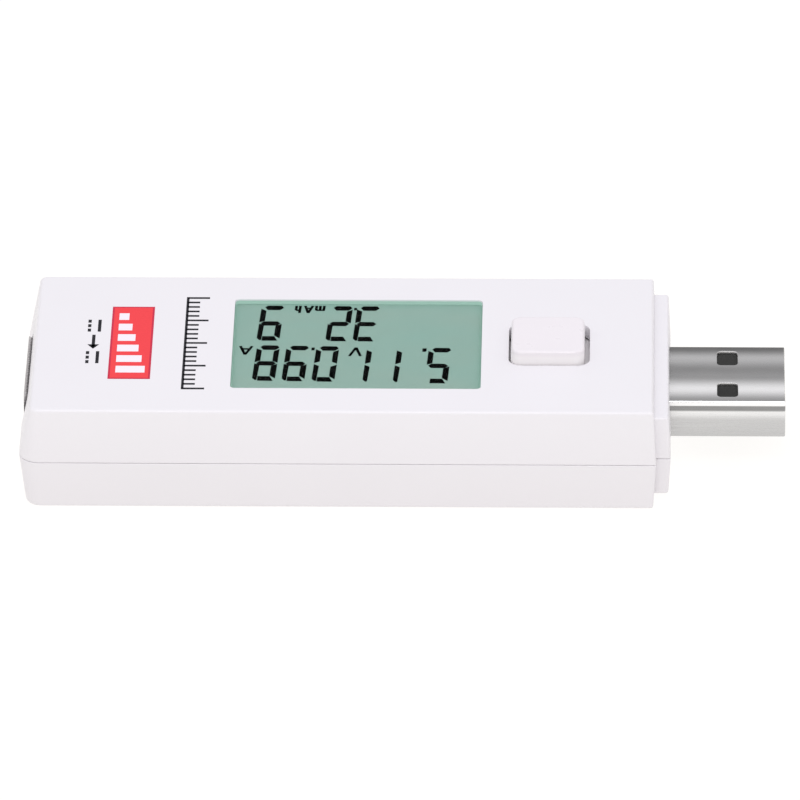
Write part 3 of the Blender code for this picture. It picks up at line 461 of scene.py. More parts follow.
def ink(name, colour, speck=0.06):
    """Pad-printed ink: slightly uneven cover over the grain of the plastic."""
    made = Surface(name, 0.5, specular=0.0)
    dark, light = spread(colour, speck)
    made.colour(made.mix(made.noise(0.35 * MM, 4), dark, light))
    made.roughness(made.remap(made.noise(0.8 * MM), 0.5 - 0.08, 0.5 + 0.1))
    made.bump(made.noise(0.15 * MM, 2), 0.0015 * MM)
    return made.material


def display_glass():
    """The display's two panes: thin glass with a green cast."""
    made = Surface("display_glass", 0.1, alpha=0.35)
    made.colour(made.mix(made.noise(3 * MM), (0.55, 0.65, 0.6), (0.62, 0.72, 0.67)))
    made.roughness(made.remap(made.noise(1 * MM), 0.06, 0.16))
    return made.material


def reflector_film():
    """The film behind the display, which returns its light."""
    made = Surface("reflector_film", 0.35)
    made.colour(made.mix(made.noise(0.3 * MM, 4), (0.3, 0.44, 0.38), (0.36, 0.5, 0.44)))
    made.roughness(made.remap(made.noise(0.2 * MM), 0.3, 0.45))
    return made.material


def holder_plastic():
    return moulded("holder_plastic", (0.78, 0.78, 0.76), 0.5, grain=0.003 * MM).material


def zebra_rubber():
    """Layers of conducting and plain silicone, across the strip."""
    made = Surface("zebra_rubber", 0.7)
    layers = made.node("ShaderNodeTexWave", wave_type="BANDS", bands_direction="X")
    layers.inputs["Scale"].default_value = 1 / (1.2 * MM)
    made.link(made.place, layers.inputs["Vector"])
    made.colour(made.mix(layers.outputs["Fac"], (0.5, 0.2, 0.15), (0.04, 0.035, 0.035)))
    made.roughness(made.remap(made.noise(0.5 * MM), 0.6, 0.8))
    made.bump(layers.outputs["Fac"], 0.01 * MM)
    return made.material


def board_green():
    """Solder mask over copper: paler where the copper lies under it."""
    made = Surface("board_green", 0.35)
    copper = made.noise(2.2 * MM, 1, (2.5, 0.6, 1))
    tracks = made.ramp(copper, [(0.46, 0.0), (0.5, 1.0)], "LINEAR")
    made.colour(made.mix(tracks, (0.012, 0.13, 0.045), (0.02, 0.21, 0.075)))
    made.roughness(made.remap(made.noise(0.6 * MM), 0.28, 0.42))
    made.bump(tracks, 0.03 * MM)
    return made.material


def steel_nickel():
    return metal("steel_nickel", (0.62, 0.61, 0.6), 0.28).material


def contact_gold():
    return metal("contact_gold", (0.86, 0.62, 0.26), 0.25, (1, 8, 1), 0.06).material


def screw_steel():
    return metal("screw_steel", (0.3, 0.3, 0.32), 0.35, (1, 1, 4)).material


def connector_black():
    black = (0.0085, 0.0087, 0.007)
    return moulded("connector_black", black, 0.65, 0.06, 0.003 * MM, 0.3 * MM).material


def switch_black():
    return moulded("switch_black", (0.018, 0.018, 0.018), 0.5, 0.2, 0.004 * MM).material


def chip_epoxy():
    return moulded("chip_epoxy", (0.03, 0.03, 0.033), 0.6, 0.25, 0.006 * MM, 0.12 * MM).material


def ceramic():
    return moulded("ceramic", (0.5, 0.4, 0.3), 0.6, 0.12, 0.004 * MM, 0.15 * MM).material


# Painted reflections: light and dark tones from one edge of the shell to the other, across its top and
# up its side, in place of the room mirrored in the metal
PLUG_TOP_PAINTED_REFLECTION = [
    (0.0, 1.0),
    (0.02, 0.37),
    (0.23, 1.0),
    (0.45, 0.36),
    (0.58, 0.3),
    (0.79, 0.57),
    (0.96, 0.17),
    (1.0, 0.13),
]
PLUG_SIDE_PAINTED_REFLECTION = [
    (0.0, 0.56),
    (0.45, 0.59),
    (0.7, 0.86),
    (0.76, 0.29),
    (0.86, 0.29),
    (0.89, 1.0),
]


def plug_metal():
    """Nickel-plated sheet, drawn and rolled, with fine lines and wear, and painted reflections as soft
    stripes along the plug.
    """
    made = Surface("plug_metal", 0.25, metallic=1.0)
    half = PLUG_WIDTH / 2
    across = made.remap(made.axis("Y"), 0.0, 1.0, -half, half)
    # Painted reflection: tones by position across the top and up the sides stand in for the room
    # mirrored in the metal.
    top = made.ramp(across, PLUG_TOP_PAINTED_REFLECTION)
    low, high = PLUG_BOTTOM_Z, PLUG_BOTTOM_Z + PLUG_HEIGHT
    side = made.ramp(made.remap(made.axis("Z"), 0.0, 1.0, low, high), PLUG_SIDE_PAINTED_REFLECTION)
    facing = made.node("ShaderNodeNewGeometry").outputs["Normal"]
    flat = made.math("ABSOLUTE", made.axis("Z", facing), 0.0)
    upright = made.remap(flat, 1.0, 0.0, 0.45, 0.8)
    painted_reflection = made.mix(upright, top, side)
    lines = made.noise(0.09 * MM, 3, (60, 1, 1))
    stains = made.noise(1.5 * MM, 4)
    # Real stains laid over the painted reflection.
    stained_painted_reflection = made.mix(made.remap(stains, 0.0, 0.06), painted_reflection, (0.6, 0.59, 0.57))
    made.colour(made.mix(made.remap(lines, 0.0, 0.07), stained_painted_reflection, (0.45, 0.45, 0.45), "MULTIPLY"))
    made.roughness(made.remap(lines, 0.2, 0.36))
    made.bump(lines, 0.0006 * MM)
    return made.material


# ---------------------------------------------------------------- covers


def body_section(face_z, draft, z, inset=0.0):
    """The housing's outline at height z, on the cover whose outer face is at face_z."""
    along = (z - PARTING_Z) / (face_z - PARTING_Z)
    x0 = REAR_X + draft["rear"] * along + inset
    x1 = BODY_X - draft["front"] * along - inset
    y = HALF_WIDTH - draft["side"] * along - inset
    tighten = 0.65 if face_z > PARTING_Z else 0.3
    rear = max(REAR_CORNER * (1 - tighten * along) - inset, 0.5 * MM)
    front = max(FRONT_CORNER - inset, 0.1 * MM)
    outline = rounded_rectangle(x0, x1, -y, y, (rear, front, front, rear), 10)
    return [(px, py, z) for px, py in outline]


def nose_section(face_z, z, inset=0.0, overlap=2.0 * MM):
    """The stepped nose's outline at height z, which starts inside the body by the overlap."""
    along = (z - PARTING_Z) / (face_z - PARTING_Z)
    x1 = NOSE_X - 0.25 * MM * along - inset
    y = NOSE_HALF_WIDTH - 0.2 * MM * along - inset
    small = 0.1 * MM
    corner = max(0.3 * MM - inset, small)
    outline = rounded_rectangle(BODY_X - overlap, x1, -y, y, (small, corner, corner, small), 6)
    return [(px, py, z) for px, py in outline]


def outer_rings(section, face_z, start_z, edge, steps):
    """Rings from the parting line's small round up the wall and over the rounded edge."""
    toward = 1 if face_z > start_z else -1
    rings = []
    for step in range(4):
        angle = step / 3 * pi / 2
        lift, inset = PARTING_EDGE * (1 - cos(angle)), PARTING_EDGE * (1 - sin(angle))
        rings.append(section(start_z + toward * lift, inset))
    for step in range(steps + 1):
        angle = step / steps * pi / 2
        drop, inset = edge * (1 - sin(angle)), edge * (1 - cos(angle))
        rings.append(section(face_z - toward * drop, inset))
    return rings


def cover_solid(name, face_z, draft, start_z, edge, nose_z, nose_edge, steps):
    """A cover's outer shape, filled: its share of the body and of the stepped nose."""

    def body_at(z, inset):
        return body_section(face_z, draft, z, inset)

    def nose_at(z, inset):
        return nose_section(nose_z, z, inset)

    body = loft(name, outer_rings(body_at, face_z, start_z, edge, steps))
    join(body, loft(name + "_nose", outer_rings(nose_at, nose_z, start_z, nose_edge, 4)))
    return body


def room(name, face_z, draft, nose_z, start_z, end_z, inset):
    """The housing's inside at this inset, the body's and the nose's rooms joined."""
    made = loft(name, [body_section(face_z, draft, z, inset) for z in (start_z, end_z)])
    if nose_z > PARTING_Z:
        nose_end = min(end_z, nose_z - inset)
    else:
        nose_end = max(end_z, nose_z + inset)
    rings = [nose_section(nose_z, z, inset, 4 * MM) for z in (start_z, nose_end)]
    join(made, loft(name + "_nose", rings))
    return made


def flared_way(name, outline_at, low, face_z):
    """A cutter whose upper rim opens in a small round, so that the edge it leaves is rounded."""
    rings = [outline_at(0.0, low)]
    steps = 4
    for step in range(steps + 1):
        angle = step / steps * pi / 2
        rise, grow = OPENING_EDGE * sin(angle), OPENING_EDGE * (1 - cos(angle))
        rings.append(outline_at(grow, face_z - OPENING_EDGE + rise))
    rings.append(outline_at(OPENING_EDGE, face_z + 0.2 * MM))
    return loft(name, rings)


def around(low, high, corner):
    """An outline function: the rectangle between two corners, grown and set at a height."""

    def outline_at(grow, z):
        radii = [corner + grow] * 4
        outline = rounded_rectangle(
            low[0] - grow, high[0] + grow, low[1] - grow, high[1] + grow, radii, 8
        )
        return [(x, y, z) for x, y in outline]

    return outline_at


def connector_ways(prefix):
    """Openings for the receptacle at the rear and the plug in the nose."""
    made = []
    margin = 2 * SOCKET_FLARE + 4 * FIT
    sizes = [
        ("socket", SOCKET_WIDTH + margin, SOCKET_HEIGHT + margin, 1.0 * MM),
        ("plug", PLUG_WIDTH + 2 * FIT, PLUG_HEIGHT + 2 * FIT, 0.6 * MM),
    ]
    ends = [(REAR_X - 1 * MM, REAR_X + 4 * MM), (BODY_X - 3 * MM, NOSE_X + 1 * MM)]
    for (name, width, height, radius), (x0, x1) in zip(sizes, ends):
        outline = [(y, CONNECTOR_Z + z) for y, z in centred(width, height, radius)]
        made.append(prism(f"{prefix}_{name}_way", outline, x0, x1, "x"))
    return made


WINDOW = around(
    (LENS_LOW.x - FIT, LENS_LOW.y - FIT), (LENS_HIGH.x + FIT, LENS_HIGH.y + FIT), WINDOW_CORNER
)
HOLE = around(
    (CAP_BOX[0].x + CAP_REACH, CAP_BOX[0].y + CAP_REACH),
    (CAP_BOX[1].x - CAP_REACH, CAP_BOX[1].y - CAP_REACH),
    HOLE_CORNER,
)
BOSS_PLACES = [
    tuple((low + high) / 2 for low, high in zip(*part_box(f"board_screw_{number}")))[:2]
    for number in (1, 2, 3, 4)
]
BOSS_RADIUS = 1.9 * MM
SCREW_RADIUS = 0.8 * MM
HOOK_PLACES = [(x * MM, side) for x in (-21.5, 6.5) for side in (-1, 1)]
HOOK_LENGTH = 5.0 * MM
HOOK_Y = 13.55 * MM


def round_post(name, radius, low, high, place, sides=32):
    x, y = place
    turns = [2 * pi * i / sides for i in range(sides)]
    outline = [(x + radius * cos(turn), y + radius * sin(turn)) for turn in turns]
    return prism(name, outline, low, high, "z")


def snap_hook(name, x, side):
    """A tab from the top cover's ceiling edge down into the bottom cover, with a catch."""
    outer, inner = HOOK_Y, HOOK_Y - 0.8 * MM
    profile = [
        (inner, 3.4 * MM),
        (outer - 0.3 * MM, 3.4 * MM),
        (outer + 0.35 * MM, 4.0 * MM),
        (outer, 4.4 * MM),
        (outer, 7.4 * MM),
        (outer + 0.6 * MM, 8.0 * MM),
        (outer + 0.6 * MM, 9.0 * MM),
        (inner, 8.4 * MM),
    ]
    outline = [(side * y, z) for y, z in profile]
    return prism(name, outline, x - HOOK_LENGTH / 2, x + HOOK_LENGTH / 2, "x")


def make_top_cover(surface):
    """The display-side shell: window, button hole, screw bosses and the hooks that snap it on."""
    start = PARTING_Z + PARTING_GAP
    cover = cover_solid(
        "top_case", FACE_Z, TOP_DRAFT, start, TOP_EDGE, NOSE_TOP_Z, NOSE_TOP_EDGE, 6
    )
    ceiling = FACE_Z - WALL
    below = start - 1 * MM
    groove_top = PARTING_Z + 1.0 * MM
    cut(cover, room("top_room", FACE_Z, TOP_DRAFT, NOSE_TOP_Z, below, ceiling, WALL))
    cut(cover, room("top_groove", FACE_Z, TOP_DRAFT, NOSE_TOP_Z, below, groove_top, 0.7 * MM))
    cut(cover, *connector_ways("top"))
    cut(cover, flared_way("window_way", WINDOW, ceiling - MM, FACE_Z))
    cut(cover, flared_way("button_way", HOLE, ceiling - MM, FACE_Z))
    reach_x, reach_y = POCKET_REACH
    pocket_low = (LENS_LOW.x - FIT - reach_x, LENS_LOW.y - FIT - reach_y, ceiling - MM)
    pocket_high = (LENS_HIGH.x + FIT + reach_x, LENS_HIGH.y + FIT + reach_y, FACE_Z - WINDOW_LEDGE)
    cut(cover, box("window_pocket", pocket_low, pocket_high))
    board_top = BOARD_BOX[1].z
    boss_low, boss_high = board_top + 0.03 * MM, ceiling + 0.2 * MM
    bore_low, bore_high = board_top - MM, ceiling - 0.3 * MM
    bore_radius = SCREW_RADIUS + 0.05 * MM
    for number, place in enumerate(BOSS_PLACES, 1):
        join(cover, round_post(f"boss_{number}", BOSS_RADIUS, boss_low, boss_high, place))
        cut(cover, round_post(f"bore_{number}", bore_radius, bore_low, bore_high, place))
    for number, (x, side) in enumerate(HOOK_PLACES, 1):
        join(cover, snap_hook(f"hook_{number}", x, side))
    crisp(cover)
    finish_piece(cover, "top_case", "housing", surface, "white_abs", ["top_cover"])


def make_bottom_cover(surface):
    """The lower shell: a lip inside the joint, cradles, board rests and slots for the hooks."""
    start = PARTING_Z - PARTING_GAP
    cover = cover_solid(
        "bottom_case", 0.0, BOTTOM_DRAFT, start, BOTTOM_EDGE, NOSE_BOTTOM_Z, NOSE_BOTTOM_EDGE, 10
    )
    lip_top, lip_root = PARTING_Z + 0.9 * MM, start - 0.3 * MM
    join(cover, room("lip", FACE_Z, TOP_DRAFT, NOSE_TOP_Z, lip_top, lip_root, 0.8 * MM))
    cut(cover, room("bottom_room", 0.0, BOTTOM_DRAFT, NOSE_BOTTOM_Z, start + MM, WALL, WALL))
    cut(cover, *connector_ways("bottom"))
    floor = WALL - 0.2 * MM
    cradles = [
        (REAR_X + 5 * MM, 7 * MM, 3.4 * MM),
        (REAR_X + 11 * MM, 7 * MM, 3.4 * MM),
        (BODY_X - 3.2 * MM, 6.5 * MM, 4.0 * MM),
    ]
    for number, (x, y, top) in enumerate(cradles, 1):
        join(cover, box(f"cradle_{number}", (x, -y, floor), (x + MM, y, top)))
    rest_top = BOARD_BOX[0].z - 0.03 * MM
    for x in (-12.0 * MM, 16.0 * MM):
        for side in (-1, 1):
            inner, outer = sorted((side * 11.8 * MM, side * (HALF_WIDTH - WALL + 0.3 * MM)))
            low, high = (x - 0.6 * MM, inner, floor), (x + 0.6 * MM, outer, rest_top)
            join(cover, box("board_rest", low, high))
    for x, side in HOOK_PLACES:
        inner, outer = sorted((side * (HOOK_Y - MM), side * (HOOK_Y + 0.55 * MM)))
        reach = HOOK_LENGTH / 2 + 2 * FIT
        cut(cover, box("catch_slot", (x - reach, inner, 3.3 * MM), (x + reach, outer, 4.6 * MM)))
    crisp(cover)
    finish_piece(cover, "bottom_case", "housing", surface, "white_abs", ["bottom_cover"])


# ---------------------------------------------------------------- button


def make_button(surface):
    """The cap, rounded at its top edge, with its flange, hollow and stem."""
    x = (PLUNGER_BOX[0].x + PLUNGER_BOX[1].x) / 2
    low, high = CAP_BOX
    base_z, top_z = low.z, high.z
    half_x, half_y = CAP_LENGTH / 2, CAP_WIDTH / 2

    def ring(z, inset, lean, radius):
        far_y = half_y - inset - lean
        outline = rounded_rectangle(
            x - half_x + inset, x + half_x - inset, inset - half_y, far_y, [radius] * 4
        )
        return [(px, py, z) for px, py in outline]

    rings = [ring(z, 0.0, 0.0, CAP_CORNER) for z in (base_z + 0.3 * MM, FACE_Z)]
    steps = 8
    for step in range(steps + 1):
        angle = step / steps * pi / 2
        height = top_z - CAP_EDGE * (1 - sin(angle))
        rise = (height - FACE_Z) / (top_z - FACE_Z)
        inset = CAP_DRAFT * rise + CAP_EDGE * (1 - cos(angle))
        radius = CAP_CORNER - 0.6 * CAP_EDGE * step / steps
        rings.append(ring(height, inset, CAP_FAR_LEAN * rise, radius))
    flat_inset = CAP_DRAFT + CAP_EDGE + 0.12 * MM
    rings.append(ring(top_z, flat_inset, CAP_FAR_LEAN, CAP_CORNER - 0.6 * CAP_EDGE))
    cap = loft("cap", rings)
    flange = rounded_rectangle(low.x, high.x, low.y, high.y, [CAP_CORNER] * 4)
    join(cap, prism("cap_flange", flange, base_z, base_z + 0.6 * MM, "z"))
    half_length = CAP_LENGTH / 2 - CAP_WALL - 0.2 * MM
    half_width = CAP_WIDTH / 2 - CAP_WALL - 0.2 * MM
    hollow_low = (x - half_length, -half_width, base_z - MM)
    hollow_high = (x + half_length, half_width - CAP_FAR_LEAN, top_z - CAP_WALL)
    cut(cap, box("cap_hollow", hollow_low, hollow_high))
    stem_z = PLUNGER_BOX[1].z + 0.05 * MM
    join(cap, round_post("cap_stem", 1.25 * MM, stem_z, top_z - 0.5 * MM, (x, 0.0)))
    crisp(cap)
    finish_piece(cap, "button_key", "button", surface, "button_abs", ["button_cap"])


# ---------------------------------------------------------------- plug shell


def make_plug_shell(surface):
    """The plug's sheet-metal tube, with rolled rim, latch windows, legs and a closed seam below."""
    x0, x1 = PLUG_BOX[0].x, PLUG_BOX[1].x
    rim = 0.1 * MM

    def ring(x, inset):
        radius = max(PLUG_CORNER - inset, 0.08 * MM)
        outline = centred(PLUG_WIDTH - 2 * inset, PLUG_HEIGHT - 2 * inset, radius, 8)
        return [(x, y, CONNECTOR_Z + z) for y, z in outline]

    def rounded_end(x):
        """Rings over the sheet's end, from its outer side to its inner side."""
        made = []
        for step in range(7):
            angle = step / 6 * pi
            side = -cos(angle)
            inset = SHEET / 2 + side * (SHEET / 2 if abs(side) > 0.99 else rim * 1.2)
            made.append(ring(x - rim * (1 - sin(angle)), inset))
        return made

    rings = [ring(x0, 0.0)] + rounded_end(x1) + [ring(x0, SHEET)]
    shell = loft("plug", rings, looped=True)
    for side in (-1, 1):
        x = x1 - LATCH_FROM_TIP - LATCH_LENGTH / 2
        outline_at = around(
            (x - LATCH_LENGTH / 2, side * LATCH_Y - LATCH_WIDTH / 2),
            (x + LATCH_LENGTH / 2, side * LATCH_Y + LATCH_WIDTH / 2),
            0.45 * MM,
        )
        half, grow = PLUG_HEIGHT / 2, 0.04 * MM
        profile = [(-half - MM, grow), (-half, grow), (0.05 * MM - half, 0.0)]
        profile += [(half - 0.05 * MM, 0.0), (half, grow), (half + MM, grow)]
        cut(shell, loft("latch_window", [outline_at(wider, CONNECTOR_Z + z) for z, wider in profile]))
    seam_low = (x0 - MM, -0.03 * MM, PLUG_BOTTOM_Z - 0.1 * MM)
    seam_high = (x1 + MM, 0.03 * MM, PLUG_BOTTOM_Z + 0.06 * MM)
    cut(shell, box("seam", seam_low, seam_high))
    add_legs(shell, x0 + 1.6 * MM, PLUG_WIDTH)
    crisp(shell, 40)
    finish_piece(shell, "plug_tube", "housing", surface, "steel_nickel", ["plug_shell"])


def add_legs(shell, x, width):
    """A tab from each side of a shell, over the board's edge and down through it."""
    over, under = BOARD_BOX[1].z + 0.06 * MM, BOARD_BOX[0].z - 0.5 * MM
    wall, bend = width / 2 - SHEET / 2, width / 2 + 1.3 * MM
    profile = [
        (wall, over),
        (bend - SHEET / 2, over),
        (bend - SHEET / 2, under),
        (bend + SHEET / 2, under),
        (bend + SHEET / 2, over + SHEET),
        (wall, over + SHEET),
    ]
    for side in (-1, 1):
        outline = [(side * y, z) for y, z in profile]
        join(shell, prism("leg", outline, x - 0.7 * MM, x + 0.7 * MM, "x"))


# ---------------------------------------------------------------- flat marks


def flat_shapes(name, outlines, low, high):
    """Thin raised shapes, such as printed ink: each outline becomes a closed slab."""
    mesh = bpy.data.meshes.new(name)
    shape = bmesh.new()
    for outline in outlines:
        area = sum(
            x0 * y1 - x1 * y0 for (x0, y0), (x1, y1) in zip(outline, outline[1:] + outline[:1])
        )
        points = outline if area > 0 else outline[::-1]
        lower = [shape.verts.new((x, y, low)) for x, y in points]
        upper = [shape.verts.new((x, y, high)) for x, y in points]
        shape.faces.new(lower[::-1])
        shape.faces.new(upper)
        count = len(points)
        for i in range(count):
            j = (i + 1) % count
            shape.faces.new((lower[i], lower[j], upper[j], upper[i]))
    shape.to_mesh(mesh)
    shape.free()
    return new_object(name, mesh)


def stroke(start, end, width):
    """A straight stroke as an outline, square at its ends."""
    (x0, y0), (x1, y1) = start, end
    along = Vector((x1 - x0, y1 - y0)).normalized() * width / 2
    side = Vector((-along.y, along.x))
    corners = [Vector(start) + side, Vector(start) - side, Vector(end) - side, Vector(end) + side]
    return [tuple(corner) for corner in corners]


# ---------------------------------------------------------------- display segments

# One digit, in millimetres from its lower left corner, standing upright before it is slanted
SEGMENT_SHAPES = {
    "a": [(0.14, 7.56), (0.54, 6.58), (1.86, 6.58), (1.86, 7.56)],
    "b": [(2.44, 3.8), (2.44, 7.0), (2.1, 7.46), (1.92, 7.36), (1.86, 4.2)],
    "c": [(2.44, 0.56), (2.44, 3.56), (1.84, 3.2), (1.84, 0.98)],
    "d": [(-0.04, 0.32), (0.22, -0.14), (1.74, -0.14), (2.04, 0.24), (1.7, 0.82), (0.36, 0.82)],
    "e": [(-0.08, 0.62), (0.52, 1.08), (0.52, 3.2), (-0.08, 3.62)],
    "f": [(-0.08, 3.86), (0.58, 4.34), (0.58, 6.4), (-0.08, 7.04)],
    "g": [(0.08, 3.76), (0.42, 3.32), (1.94, 3.32), (2.26, 3.76), (1.94, 4.24), (0.42, 4.24)],
}
DIGITS = {
    "0": "abcdef",
    "1": "bc",
    "2": "abged",
    "3": "abgcd",
    "5": "afgcd",
    "8": "abcdefg",
    "9": "abcdfg",
}
SLANT = 0.052
# Each row of digits: where its base line crosses the window's middle, and how much it tilts
NEAR_BASE, NEAR_TILT = 0.16, 0.021
FAR_BASE, FAR_TILT = 9.05, 0.006
ROW_MIDDLE_X = -5.0
# Where each row's digits stand: the digit and the X of its lower left corner
NEAR_ROW = [("5", 5.17), ("1", 1.7), ("1", -1.62), ("0", -7.19), ("9", -10.48), ("8", -13.72)]
FAR_ROW = [("3", -2.88), ("2", -5.88), ("9", -13.46)]
POINTS = [(2.5, 0.0, 0.46, 0.7), (-9.8, 0.08, 0.36, 0.6), (-5.34, 8.85, 0.32, 0.55)]
UNIT_STROKE = 0.31
# The unit letters as strokes, each with its own lower left corner and size
UNITS = [
    ("V", -4.66, 0.12, 1.22, 1.86),
    ("A", -16.7, 0.34, 1.3, 1.86),
    ("m", -8.98, 9.24, 0.84, 1.08),
    ("A", -10.24, 9.24, 0.84, 1.56),
    ("h", -11.62, 9.24, 0.42, 1.56),
]
LETTERS = {
    "V": [((0.5, 0.0), (0.0, 1.0)), ((0.5, 0.0), (1.0, 1.0))],
    "A": [((0.0, 0.0), (0.5, 1.0)), ((1.0, 0.0), (0.5, 1.0)), ((0.2, 0.34), (0.8, 0.34))],
    "m": [
        ((0.0, 0.0), (0.0, 1.0)),
        ((0.5, 0.0), (0.5, 0.9)),
        ((1.0, 0.0), (1.0, 0.9)),
        ((0.0, 0.88), (1.0, 0.88)),
    ],
    "h": [((0.0, 0.0), (0.0, 1.0)), ((1.0, 0.0), (1.0, 0.62)), ((0.0, 0.62), (1.0, 0.62))],
}


def make_segments(surface):
    """The dark segments on the film, read from the plug's end with the button on the left."""
    low = FILM_TOP_Z + 0.004 * MM

    def placed(u, v, x, y, tilt=0.0):
        """From a mark's own right and up to the meter's X and Y, in metres."""
        row_x = x - u - SLANT * v
        row_y = y - v - tilt * (row_x - ROW_MIDDLE_X)
        return (row_x * MM, row_y * MM)

    outlines = []
    for row, y, tilt in ((NEAR_ROW, NEAR_BASE, NEAR_TILT), (FAR_ROW, FAR_BASE, FAR_TILT)):
        for digit, x in row:
            for segment in DIGITS[digit]:
                outlines.append([placed(u, v, x, y, tilt) for u, v in SEGMENT_SHAPES[segment]])
    for x, y, width, height in POINTS:
        corners = [(0, 0), (width, 0), (width, height), (0, height)]
        outlines.append([placed(u, v, x, y) for u, v in corners])
    for letter, x, y, width, height in UNITS:
        for start, end in LETTERS[letter]:
            ends = [(u * width, v * height) for u, v in (start, end)]
            outlines.append([placed(u, v, x, y) for u, v in stroke(*ends, UNIT_STROKE)])
    piece = flat_shapes("lcd_segments", outlines, low, low + 0.012 * MM)
    finish_piece(piece, "lcd_segments", "housing", surface)


# ---------------------------------------------------------------- printed marks


PRINT = 0.012 * MM

# Places and sizes of the printed marks, in millimetres
BADGE = ((-32.3, -7.9), (-27.65, 7.9))
BORDER = 0.22
BAR_COUNT = 6
BAR_PITCH = 2.3
BAR_WIDTH = 1.45
SCALE_BASE = -24.05
LONG_TICK = 2.4
SHORT_TICK = 1.35
SCALE_END = 9.9
SCALE_STEPS = 20
PRINT_STROKE = 0.36
SOLID_LINE_X, DASHED_LINE_X = -33.6, -34.7
SIGN_STARTS = (5.0, -1.9)
SIGN_LENGTH = 2.6
ARROW_X = -34.15


def rectangle(x0, y0, x1, y1):
    return [(x0, y0), (x1, y0), (x1, y1), (x0, y1)]


def bar_graph():
    """The badge's bars, each taller than the one before."""
    left, top = BADGE[0][0] + 0.8, BADGE[1][1] - 1.5
    bars = []
    for number in range(BAR_COUNT):
        y = top - number * BAR_PITCH
        height = 1.1 + number * 0.42
        bars.append(rectangle(left, y, left + height, y - BAR_WIDTH))
    return bars


def graduated_scale():
    """A ruler's ticks, every fifth one long, and its base line."""
    ticks = []
    for number in range(SCALE_STEPS + 1):
        y = SCALE_END - number * 2 * SCALE_END / SCALE_STEPS
        reach = LONG_TICK if number % 5 == 0 else SHORT_TICK
        ticks.append(stroke((SCALE_BASE, y), (SCALE_BASE + reach, y), PRINT_STROKE))
    end = SCALE_END + PRINT_STROKE / 2
    ticks.append(stroke((SCALE_BASE, end), (SCALE_BASE, -end), PRINT_STROKE * 0.8))
    return ticks


def current_signs():
    """Two direct-current signs, a line over dashes, and an arrow from one to the other."""
    signs = []
    for y in SIGN_STARTS:
        signs.append(stroke((SOLID_LINE_X, y), (SOLID_LINE_X, y - SIGN_LENGTH), PRINT_STROKE))
        for number in range(3):
            start = y - number * 0.98
            signs.append(stroke((DASHED_LINE_X, start), (DASHED_LINE_X, start - 0.64), PRINT_STROKE))
    signs.append(stroke((ARROW_X, 1.7), (ARROW_X, -1.0), PRINT_STROKE))
    signs.append([(ARROW_X + 0.65, -0.4), (ARROW_X - 0.65, -0.4), (ARROW_X, -1.35)])
    return signs


def make_prints(red, dark_red, pale, grey):
    """A red badge with a rising bar graph, a graduated scale, and the direct-current signs."""

    def slab(name, outlines, level, surface):
        scaled = [[(x * MM, y * MM) for x, y in outline] for outline in outlines]
        low = FACE_Z + 0.001 * MM + level * PRINT
        piece = flat_shapes(name, scaled, low, low + PRINT)
        finish_piece(piece, name, "housing", surface)

    (x0, y0), (x1, y1) = BADGE
    inner = rectangle(x0 + BORDER, y0 + BORDER, x1 - BORDER, y1 - BORDER)
    slab("badge_border", [rectangle(x0, y0, x1, y1)], 0, dark_red)
    slab("badge", [inner], 1, red)
    slab("badge_bars", bar_graph(), 2, pale)
    slab("scale_marks", graduated_scale(), 0, grey)
    slab("current_signs", current_signs(), 0, grey)


# ---------------------------------------------------------------- display lens


def make_clear_plate(names, low_z, high_z, surface, edge):
    """A clear plate in the window, with small rounds and with side faces of the edge material.

    The names are the piece's own, its material slot's, which is not used, and that of the node it
    stands for.
    """
    name, slot, node = names
    small = 0.02 * MM
    outline_at = around((LENS_LOW.x, LENS_LOW.y), (LENS_HIGH.x, LENS_HIGH.y), WINDOW_CORNER - FIT)
    levels = [(low_z, -small), (low_z + small, 0.0), (high_z - small, 0.0), (high_z, -small)]
    plate = loft(name, [outline_at(grow, z) for z, grow in levels])
    finish_piece(plate, name, "housing", surface, slot, [node])
    plate.data.materials.append(edge)
    for face in plate.data.polygons:
        face.material_index = 0 if abs(face.normal.z) > 0.9 else 1


def make_window(clear, glue, edge):
    """The lens, and below it the clear glue sheet that holds it over the display's segments."""
    lens = ("lens_plate", "clear_pmma", "display_lens")
    make_clear_plate(lens, GLUE_TOP_Z + 0.005 * MM, LENS_HIGH.z, clear, edge)
    sheet = ("lens_glue", "optical_adhesive", "lens_adhesive")
    make_clear_plate(sheet, FILM_TOP_Z + 0.022 * MM, GLUE_TOP_Z, glue, edge)


# ---------------------------------------------------------------- camera, light and floor


def make_camera():
    """A long lens from about 30 degrees above the face, almost square to the long side."""
    elevation, yaw, roll = radians(30.387), radians(1.287), radians(-0.399)
    look_at = Vector((-0.485, 0.0, 5.05)) * MM
    distance = 1.3097
    back = Vector((sin(yaw) * cos(elevation), -cos(yaw) * cos(elevation), sin(elevation)))
    right = Vector((0, 0, 1)).cross(back).normalized()
    up = back.cross(right)
    turned_right = cos(roll) * right + sin(roll) * up
    turned_up = cos(roll) * up - sin(roll) * right
    data = bpy.data.cameras.new("camera")
    data.sensor_width = 36.0
    data.lens = 534.96
    data.clip_start = 0.01
    data.clip_end = 20.0
    camera = new_object("camera", data)
    place = Matrix((turned_right, turned_up, back)).transposed().to_4x4()
    place.translation = look_at + back * distance
    camera.matrix_world = place
    bpy.context.scene.camera = camera


def make_floor():
    """A wide pale table top with a faint grain, lit from within like a shooting table."""
    made = Surface("floor_white", 0.8, specular=0.1)
    made.colour(made.mix(made.noise(40 * MM), (0.11, 0.11, 0.11), (0.13, 0.13, 0.13)))
    made.shader.inputs["Emission Color"].default_value = (1.0, 0.985, 0.965, 1.0)
    made.shader.inputs["Emission Strength"].default_value = 0.93
    sides, radius = 96, 2.5
    turns = [2 * pi * i / sides for i in range(sides)]
    ring = [(radius * cos(turn), radius * sin(turn)) for turn in turns]
    floor = flat_shapes("floor", [ring], -0.0002, -0.0001)
    floor.data.materials.append(made.material)


